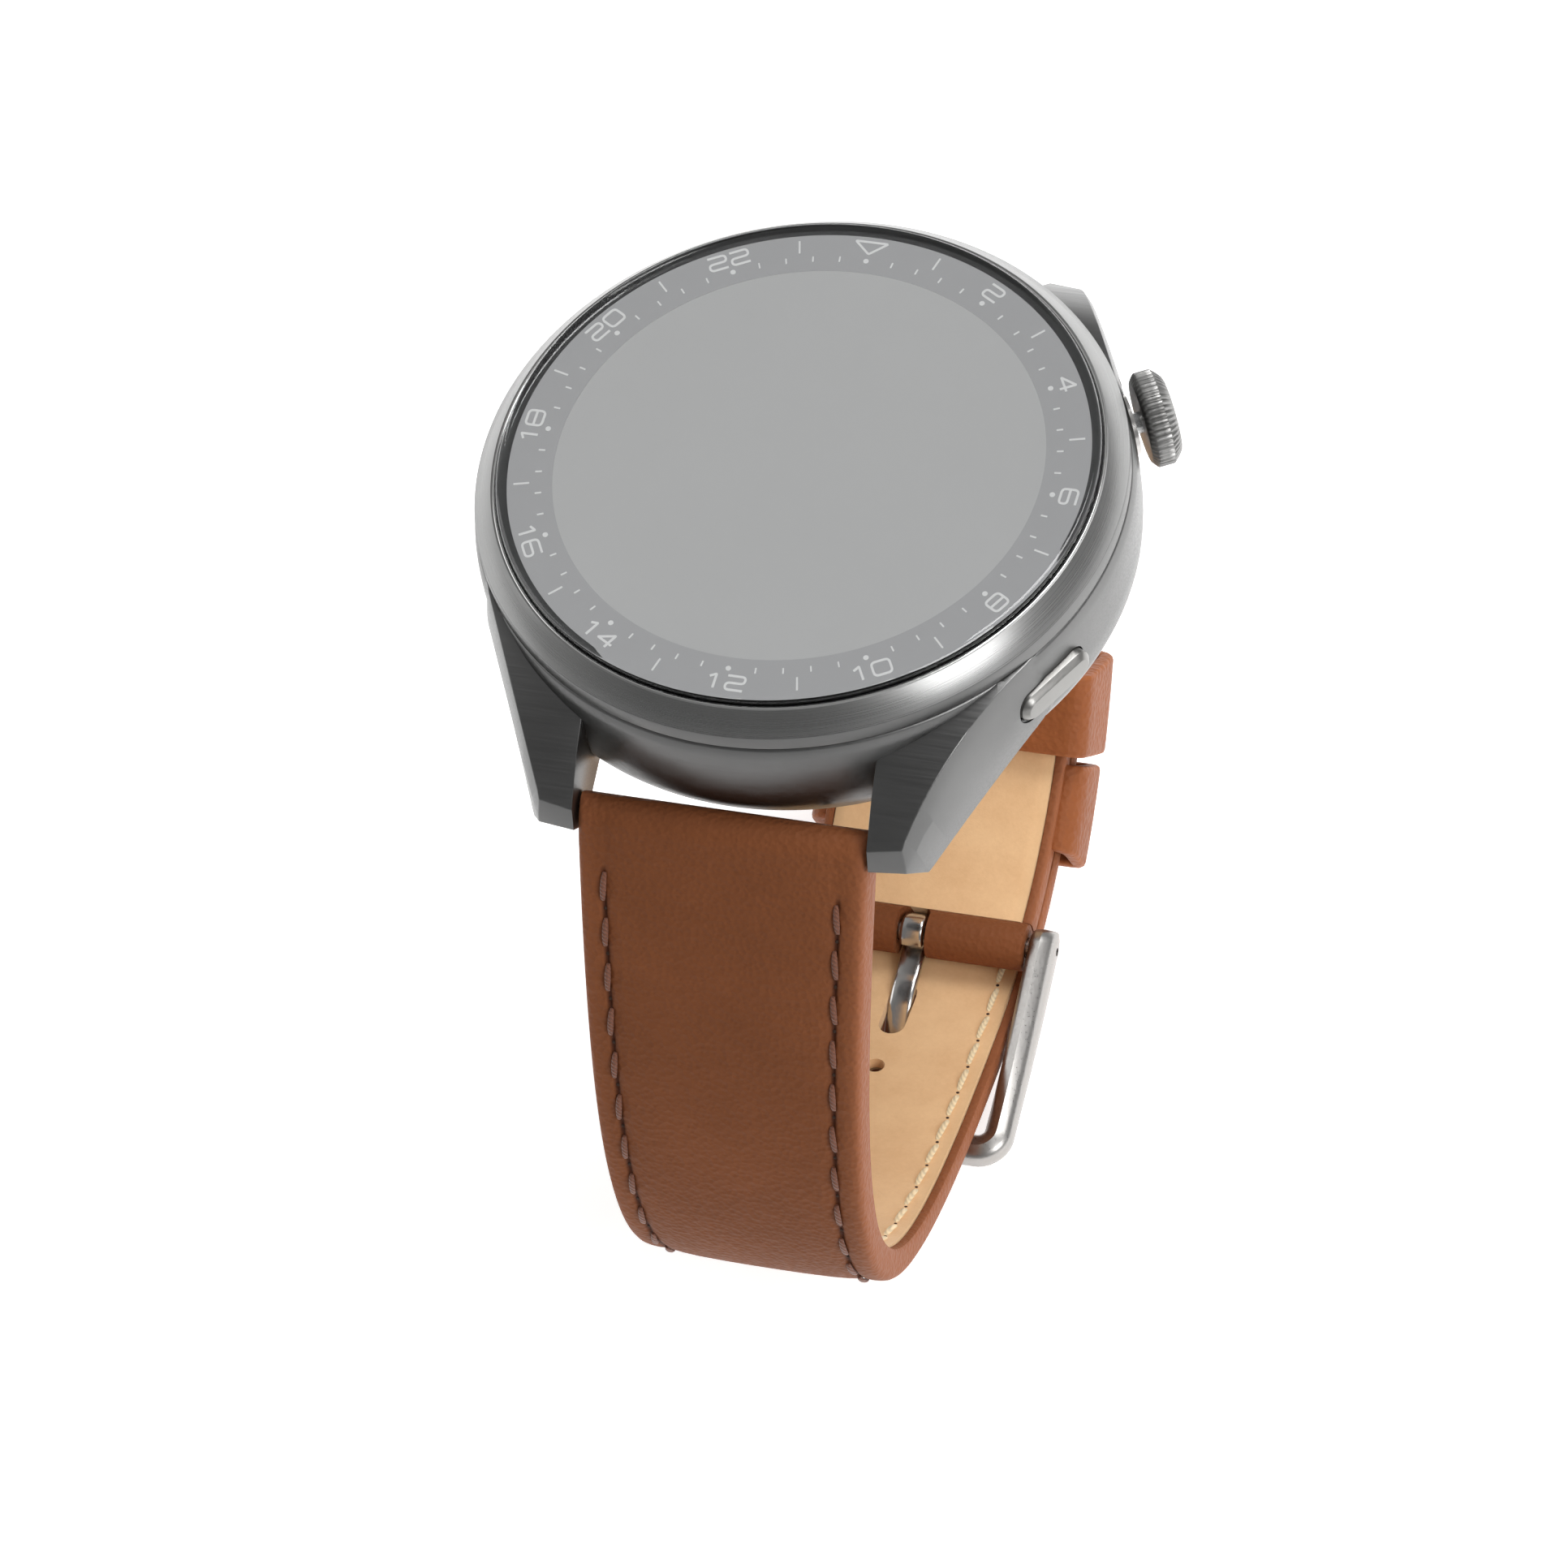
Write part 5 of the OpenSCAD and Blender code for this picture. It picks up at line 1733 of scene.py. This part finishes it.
@dataclass
class Keepers:
    """Fixed and free loops that hold the tail down."""

    route: Route = field(default_factory=Route)
    thick: float = 1.2
    fixed: tuple[float, float] = (23.15, 38.8)
    free: tuple[float, float] = (40.5, 52.58)

    def band(self, name: str, path: Array, centre: Array, heads: tuple[float, float],
             closed: bool, seed: int) -> Body:
        """Sweeps a leather band along its path round the strap.

        Args:
            name: name of the piece.
            path: middle line of the band, as distance across and radius.
            centre: centre of the arc that the band lies on.
            heads: its first and last heading.
            closed: whether the band is a full loop.
            seed: number that fixes its small folds.

        Returns:
            The band.
        """
        dice = np.random.default_rng(seed)
        waves = dice.uniform(0, 2 * math.pi, 8)
        half_t, n = self.thick / 2, len(path)
        rings = []
        for i, p in enumerate(path):
            a = path[i - 1] if (closed or i) else p
            b = path[(i + 1) % n] if (closed or i < n - 1) else p
            way = (b - a) / max(1e-9, float(np.linalg.norm(b - a)))
            normal = np.array([way[1], -way[0]])
            wall = abs(way[1])
            ring = []
            outline = [(-1.0, -0.5), (-0.97, -0.85), (-0.9, -1.0), *[(k, -1.0) for k in
                       np.linspace(-0.8, 0.8, 21)], (0.9, -1.0), (0.97, -0.85), (1.0, -0.5),
                       (1.0, 0.5), (0.97, 0.85), (0.9, 1.0), *[(k, 1.0) for k in
                       np.linspace(0.8, -0.8, 21)], (-0.9, 1.0), (-0.97, 0.85), (-1.0, 0.5)]
            for along_w, across_t in outline:
                head = (heads[0] + heads[1]) / 2 + along_w * (heads[1] - heads[0]) / 2
                fold = 0.0
                if across_t > 0.9 and wall > 0.3:
                    fold = wall * self.fold(along_w, float(p[1]), waves)
                off = normal * (across_t * half_t + fold)
                u, radius = p + off
                q = on_arc(centre, float(radius), float(head))
                tone = 0.75 if abs(along_w) > 0.93 else 0.0
                # Painted shade: the tone drops by 0.5 in the dips of the side wall's folds, which
                # darkens them.
                ring.append((u, q[0], q[1], tone - (0.5 if fold < -0.05 else 0.0)))
            rings.append(np.array(ring))
        return Shell().loft(rings, wrap=closed).finish(name, 60)

    def fold(self, along_w: float, radius: float, waves: Array) -> float:
        """Height of the small folds in a keeper's side wall.

        Args:
            along_w: place across the keeper's width, from -1 to 1.
            radius: distance from the centre of its arc.
            waves: phase of each wave.

        Returns:
            The height in millimetres.
        """
        total = 0.0
        for k, phase in enumerate(waves):
            total += math.sin(along_w * (7 + 3.1 * k) + radius * (1.7 - 0.35 * k) + phase
                              ) / (3 + 0.8 * k)
        return 0.085 * total

    def build(self, shop: Workshop) -> None:
        """Makes both keepers.

        Args:
            shop: takes the finished pieces.
        """
        r = self.route
        low = r.low_r
        top = low + r.tail_off + 2.4 + 0.5 + self.thick / 2
        side = r.narrow + 1.35
        right = [(8.75, low + 1.35), (side - 0.9, low + 1.15), (side - 0.1, low + 1.9),
                 (side + 0.05, low + 3.4), (side, top - 0.5), (side - 0.25, top), (4.0, top + 0.04)]
        left = [(-u, d) for u, d in reversed(right)]
        fixed = rounded_path(right + left, 0.7, 5)
        fixed = refine(fixed, 0.42)
        piece = self.band("keeper_fixed_loop", fixed[::-1], r.low_c(), self.fixed, False, 5)
        shop.hand_in(piece, "keeper_leather", "watch", ["keeper_fixed"])
        bottom, top = r.mid_r - 0.4 - self.thick / 2, r.mid_r + r.tail_off + 2.8 + self.thick / 2
        side += 0.22
        loop = [(side, bottom + 0.55), (side + 0.05, (bottom + top) / 2), (side, top - 0.45),
                (side - 0.5, top), (0.0, top + 0.03), (-side + 0.5, top), (-side, top - 0.45),
                (-side - 0.05, (bottom + top) / 2), (-side, bottom + 0.55),
                (-side + 0.6, bottom), (0.0, bottom), (side - 0.6, bottom)]
        free = refine(rounded_path(loop, 0.8, 5, True), 0.42, True)
        piece = self.band("keeper_free_loop", free[::-1], r.mid_c(), self.free, True, 9)
        shop.hand_in(piece, "keeper_leather", "free_keeper", ["keeper_free"])


def refine(path: Array, step: float, closed: bool = False) -> Array:
    """Spaces the points of a line evenly.

    Args:
        path: the line.
        step: distance between two points.
        closed: whether the line comes back to its start.

    Returns:
        The new points.
    """
    line = np.concatenate([path, path[:1]]) if closed else path
    gaps = np.linalg.norm(np.diff(line, axis=0), axis=1)
    keep = np.concatenate([[True], gaps > 1e-6])
    line = line[keep]
    run = np.concatenate([[0], np.cumsum(np.linalg.norm(np.diff(line, axis=0), axis=1))])
    want = np.linspace(0, run[-1], max(4, int(run[-1] / step)) + 1)
    if closed:
        want = want[:-1]
    return np.stack([np.interp(want, run, line[:, k]) for k in range(2)], 1)


# ---------------------------------------------------------------- buckle
@dataclass
class Buckle:
    """Polished frame and tongue on the buckle's pin."""

    route: Route = field(default_factory=Route)
    cross_back: float = 9.9
    cross_gap: float = 0.45
    inner_x: float = 9.3
    side: float = 2.3
    tall: float = 3.4
    low: float = 2.4
    tongue_w: float = 1.9
    tongue_t: float = 0.8

    def cross(self) -> Array:
        """Centre of the frame's cross bar, which lies just outside the tail."""
        st = self.route.long(self.route.curve_length() - self.cross_back)
        return st.point + st.out * (st.thick + self.cross_gap + self.low / 2)

    def frame_ring(self) -> Body:
        """U-shaped frame, swept with a soft section from one pin end to the other.

        Returns:
            The frame.
        """
        pin, cross = self.route.pin(), self.cross()
        way = cross - pin
        reach = float(np.linalg.norm(way))
        way /= reach
        normal = np.array([way[1], -way[0]])
        if normal[1] > 0:
            normal = -normal
        x = self.inner_x + self.side / 2
        corner, nose = 1.6, 1.62
        path = [np.array([x, -nose * v]) for v in (0.99, 0.94, 0.83, 0.66, 0.44, 0.2)]
        path += [np.array([x, v]) for v in np.linspace(0.0, reach - corner, 18)]
        turn = np.radians(np.linspace(8, 82, 8))
        path += [np.array([x - corner + corner * math.cos(a),
                           reach - corner + corner * math.sin(a)]) for a in turn]
        path += [np.array([u, reach]) for u in np.linspace(x - corner, 0, 8)]
        path += [np.array([-p[0], p[1]]) for p in reversed(path[:-1])]
        rings = []
        for i, p in enumerate(path):
            a, b = path[max(0, i - 1)], path[min(len(path) - 1, i + 1)]
            run = (b - a) / float(np.linalg.norm(b - a))
            inward = np.array([-run[1], run[0]])
            share = min(1.0, max(0.0, p[1] / reach))
            h = (self.tall + (self.low - self.tall) * ease(share)) / 2
            w = self.side / 2 + (self.low / 2 - self.side / 2) * ease((share - 0.8) / 0.2)
            shrink = math.sqrt(max(0.02, 1 - min(0.0, p[1] / nose) ** 2))
            bow = 0.42 * math.sin(math.pi * share) * (1 if abs(p[0]) > x - 0.3 else 0.6)
            ring = []
            for t in np.radians(np.arange(0, 360, 15)):
                c, s = math.cos(t), math.sin(t)
                u = math.copysign(abs(c) ** 0.5, c) * w * (0.75 + 0.25 * shrink)
                v = math.copysign(abs(s) ** 0.8, s) * h * shrink
                v *= 1.06 - 0.3 * abs(u) / w
                flat = p + inward * u
                place = pin + way * flat[1] + normal * (v + bow)
                ring.append((flat[0], place[0], place[1]))
            rings.append(np.array(ring))
        return Shell().loft(rings).finish("buckle_bow", 40)

    def pin_dimples(self) -> Body:
        """Cutting shape for the small blind holes at the pin's ends.

        Returns:
            The cutting shape.
        """
        c = self.route.pin()
        shell = Shell()
        for side in (-1, 1):
            far = side * (self.inner_x + self.side)
            place = lambda p, f=far, s=side: np.stack(
                [f + s * p[:, 2], c[0] + p[:, 0], c[1] + p[:, 1]], 1)
            shell.lathe([(0, -0.35), (0.34, -0.35), (0.34, 1), (0, 1)], 24, place)
        return shell.finish("dimples")

    def tongue(self) -> Body:
        """Tongue: a flat strip looped round the pin, out through the slot to the bar.

        Returns:
            The tongue.
        """
        r = self.route
        pin, cross = r.pin(), self.cross()
        st = r.long(r.curve_length() - self.cross_back)
        back = np.array([-st.out[1], st.out[0]])
        rest = cross + st.out * (self.low / 2 + self.cross_gap + self.tongue_t / 2)
        ring_r = 1.14
        path = [pin + ring_r * outward(a) for a in np.linspace(268, -8, 26)]
        path += [on_arc(r.low_c(), r.low_r + 2.35, -2), on_arc(r.low_c(), r.low_r + 2.9, -7.5),
                 on_arc(r.low_c(), r.low_r + r.tail_off + 3.3, -14), rest + back * 3,
                 rest, rest - back * 1.2]
        line = refine(rounded_path(path, 1.0, 4), 0.3)
        rings = []
        for i, p in enumerate(line):
            a, b = line[max(0, i - 1)], line[min(len(line) - 1, i + 1)]
            way = (b - a) / float(np.linalg.norm(b - a))
            normal = np.array([way[1], -way[0]])
            share = i / (len(line) - 1)
            w = self.tongue_w / 2 * (1.0 if share < 0.9 else 1 - 0.35 * (share - 0.9) / 0.1)
            t = self.tongue_t / 2 * (0.86 if share < 0.35 else 1.0)
            ring = []
            for turn in np.radians(np.arange(0, 360, 20)):
                c, s = math.cos(turn), math.sin(turn)
                u = math.copysign(abs(c) ** 0.55, c) * w
                v = math.copysign(abs(s) ** 0.6, s) * t
                q = p + normal * v
                ring.append((u, q[0], q[1]))
            rings.append(np.array(ring))
        return Shell().loft(rings).finish("buckle_prong", 45)

    def build(self, shop: Workshop) -> None:
        """Makes the frame and the tongue.

        Args:
            shop: takes the finished pieces.
        """
        bow = combine(self.frame_ring(), self.pin_dimples())
        shop.hand_in(bow, "satin_steel", "buckle", ["buckle_frame"])
        shop.hand_in(self.tongue(), "polished_steel", "tongue",
                     ["buckle_tongue"])


# ---------------------------------------------------------------- studio
@dataclass
class Softbox:
    """Flat studio light aimed at the watch."""

    name: str
    azimuth: float
    elevation: float
    distance: float
    size: tuple[float, float]
    power: float
    shade: tuple[float, float, float] = (1.0, 1.0, 1.0)

    def build(self, aim: Vector) -> None:
        """Makes the light.

        Args:
            aim: point that it faces, in metres.
        """
        data = bpy.data.lights.new(self.name, "AREA")
        data.shape, data.size, data.size_y = "RECTANGLE", self.size[0], self.size[1]
        data.energy, data.color = self.power, self.shade
        lamp = bpy.data.objects.new(self.name, data)
        a, e = math.radians(self.azimuth), math.radians(self.elevation)
        back = Vector((math.sin(a) * math.cos(e), -math.cos(a) * math.cos(e), math.sin(e)))
        lamp.location = aim + back * self.distance
        lamp.rotation_mode = "QUATERNION"
        lamp.rotation_quaternion = (-back).to_track_quat("-Z", "Y")
        bpy.context.scene.collection.objects.link(lamp)


@dataclass
class Studio:
    """Camera, lights and pale floor."""

    azimuth: float = 25.33
    elevation: float = 52.41
    lean: float = -12.54
    distance: float = 650.0
    aim: tuple[float, float, float] = (-0.59, -13.05, -8.89)
    lens: float = 201.6

    def camera(self) -> None:
        """Makes the camera at its viewing angle."""
        data = bpy.data.cameras.new("view")
        data.lens, data.sensor_width = self.lens, 36.0
        data.clip_start, data.clip_end = 0.05, 20
        cam = bpy.data.objects.new("view", data)
        a, e = math.radians(self.azimuth), math.radians(self.elevation)
        back = Vector((math.sin(a) * math.cos(e), -math.cos(a) * math.cos(e), math.sin(e)))
        cam.location = (Vector(self.aim) + back * self.distance) * MM
        cam.rotation_mode = "QUATERNION"
        level = (-back).to_track_quat("-Z", "Y")
        cam.rotation_quaternion = level @ Euler(
            (0, 0, math.radians(self.lean))).to_quaternion()
        bpy.context.scene.collection.objects.link(cam)
        bpy.context.scene.camera = cam

    def floor(self, height: float) -> None:
        """Makes the pale floor just under the strap; its glow, faint at the front and stronger
        towards the back and the right, is painted light.

        Args:
            height: its height in metres.
        """
        mesh = bpy.data.meshes.new("floor")
        s = 3.0
        mesh.from_pydata([(-s, -s, height), (s, -s, height), (s, s, height), (-s, s, height)],
                         [], [(0, 1, 2, 3)])
        plane = bpy.data.objects.new("floor", mesh)
        bpy.context.scene.collection.objects.link(plane)
        r = Recipe("pale_floor")
        cloud = r.noise(r.place, 3, 3)
        # Painted light: the floor's glow is faint at the front and grows towards the back and the
        # right, as a pool of light.
        lean = r.put("ShaderNodeVectorMath", operation="DOT_PRODUCT")
        lean.inputs[1].default_value = (-0.17, 0.985, 0.0)
        r.tree.links.new(r.place, lean.inputs[0])
        glow = r.spread(lean.outputs["Value"], 0.02, 0.62, -0.08, -0.052)
        away = r.put("ShaderNodeVectorMath", operation="DOT_PRODUCT")
        away.inputs[1].default_value = (0.95, 0.3, 0.0)
        r.tree.links.new(r.place, away.inputs[0])
        side = r.spread(away.outputs["Value"], 0.0, 0.9, 0.01, 0.12)
        r.set(Base_Color=r.blend(cloud, (0.93, 0.93, 0.93), (0.95, 0.95, 0.95)),
              Roughness=r.spread(cloud, 0.85, 0.95), Emission_Color=(1, 1, 1, 1),
              Emission_Strength=r.sum(glow, side, 0.3))
        mesh.materials.append(r.stuff)
        plane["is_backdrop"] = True

    def sky(self) -> None:
        """Soft surround: pale behind and to the sides, dim above the front."""
        world = bpy.data.worlds.new("surround")
        bpy.context.scene.world = world
        world.use_nodes = True
        tree = world.node_tree
        back = tree.nodes["Background"]
        where = tree.nodes.new("ShaderNodeTexCoord")
        total = None
        for way, inner, outer, amount in (((-0.2, -0.78, 0.6), 0.5, 0.92, -0.12),
                                          ((-0.95, 0.2, -0.1), 0.3, 0.95, 0.08)):
            dot = tree.nodes.new("ShaderNodeVectorMath")
            dot.operation = "DOT_PRODUCT"
            tree.links.new(where.outputs["Generated"], dot.inputs[0])
            dot.inputs[1].default_value = way
            ramp = tree.nodes.new("ShaderNodeMapRange")
            ramp.interpolation_type = "SMOOTHSTEP"
            tree.links.new(dot.outputs["Value"], ramp.inputs[0])
            for port, number in zip(ramp.inputs[1:5], (inner, outer, 0.0, amount)):
                port.default_value = number
            add = tree.nodes.new("ShaderNodeMath")
            add.operation = "ADD"
            tree.links.new(ramp.outputs[0], add.inputs[0])
            if total is None:
                add.inputs[1].default_value = 0.36
            else:
                tree.links.new(total, add.inputs[1])
            total = add.outputs[0]
        tree.links.new(total, back.inputs["Strength"])
        back.inputs["Color"].default_value = (1, 1, 1, 1)

    def build(self, floor_z: float) -> None:
        """Sets the whole studio up.

        Args:
            floor_z: height of the floor in metres.
        """
        self.camera()
        self.floor(floor_z)
        self.sky()
        aim = Vector((0, 0, -0.02))
        for box in (
            Softbox("key_back", 135, 62, 0.9, (0.45, 0.4), 4.5),
            Softbox("side_right", 62, 34, 0.8, (0.35, 0.4), 2.6),
            Softbox("fill_left", -95, 25, 0.9, (0.5, 0.5), 1.0),
        ):
            box.build(aim)
        bpy.context.scene.view_settings.view_transform = "Standard"


def main() -> None:
    """Builds every sub-assembly in order."""
    logging.basicConfig(level=logging.INFO, format="%(name)s: %(message)s")
    shop = Workshop()
    case = Case()
    case.build(shop)
    case.build_bezel(shop)
    case.build_crystal(shop)
    Dial().build(shop)
    Controls().build(shop)
    LongPiece().build(shop)
    ShortPiece().build(shop)
    Keepers().build(shop)
    Buckle().build(shop)
    shop.dress_carried()
    Studio().build(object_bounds()[0][2] - FLOOR_GAP)


if __name__ == "__main__":
    main()
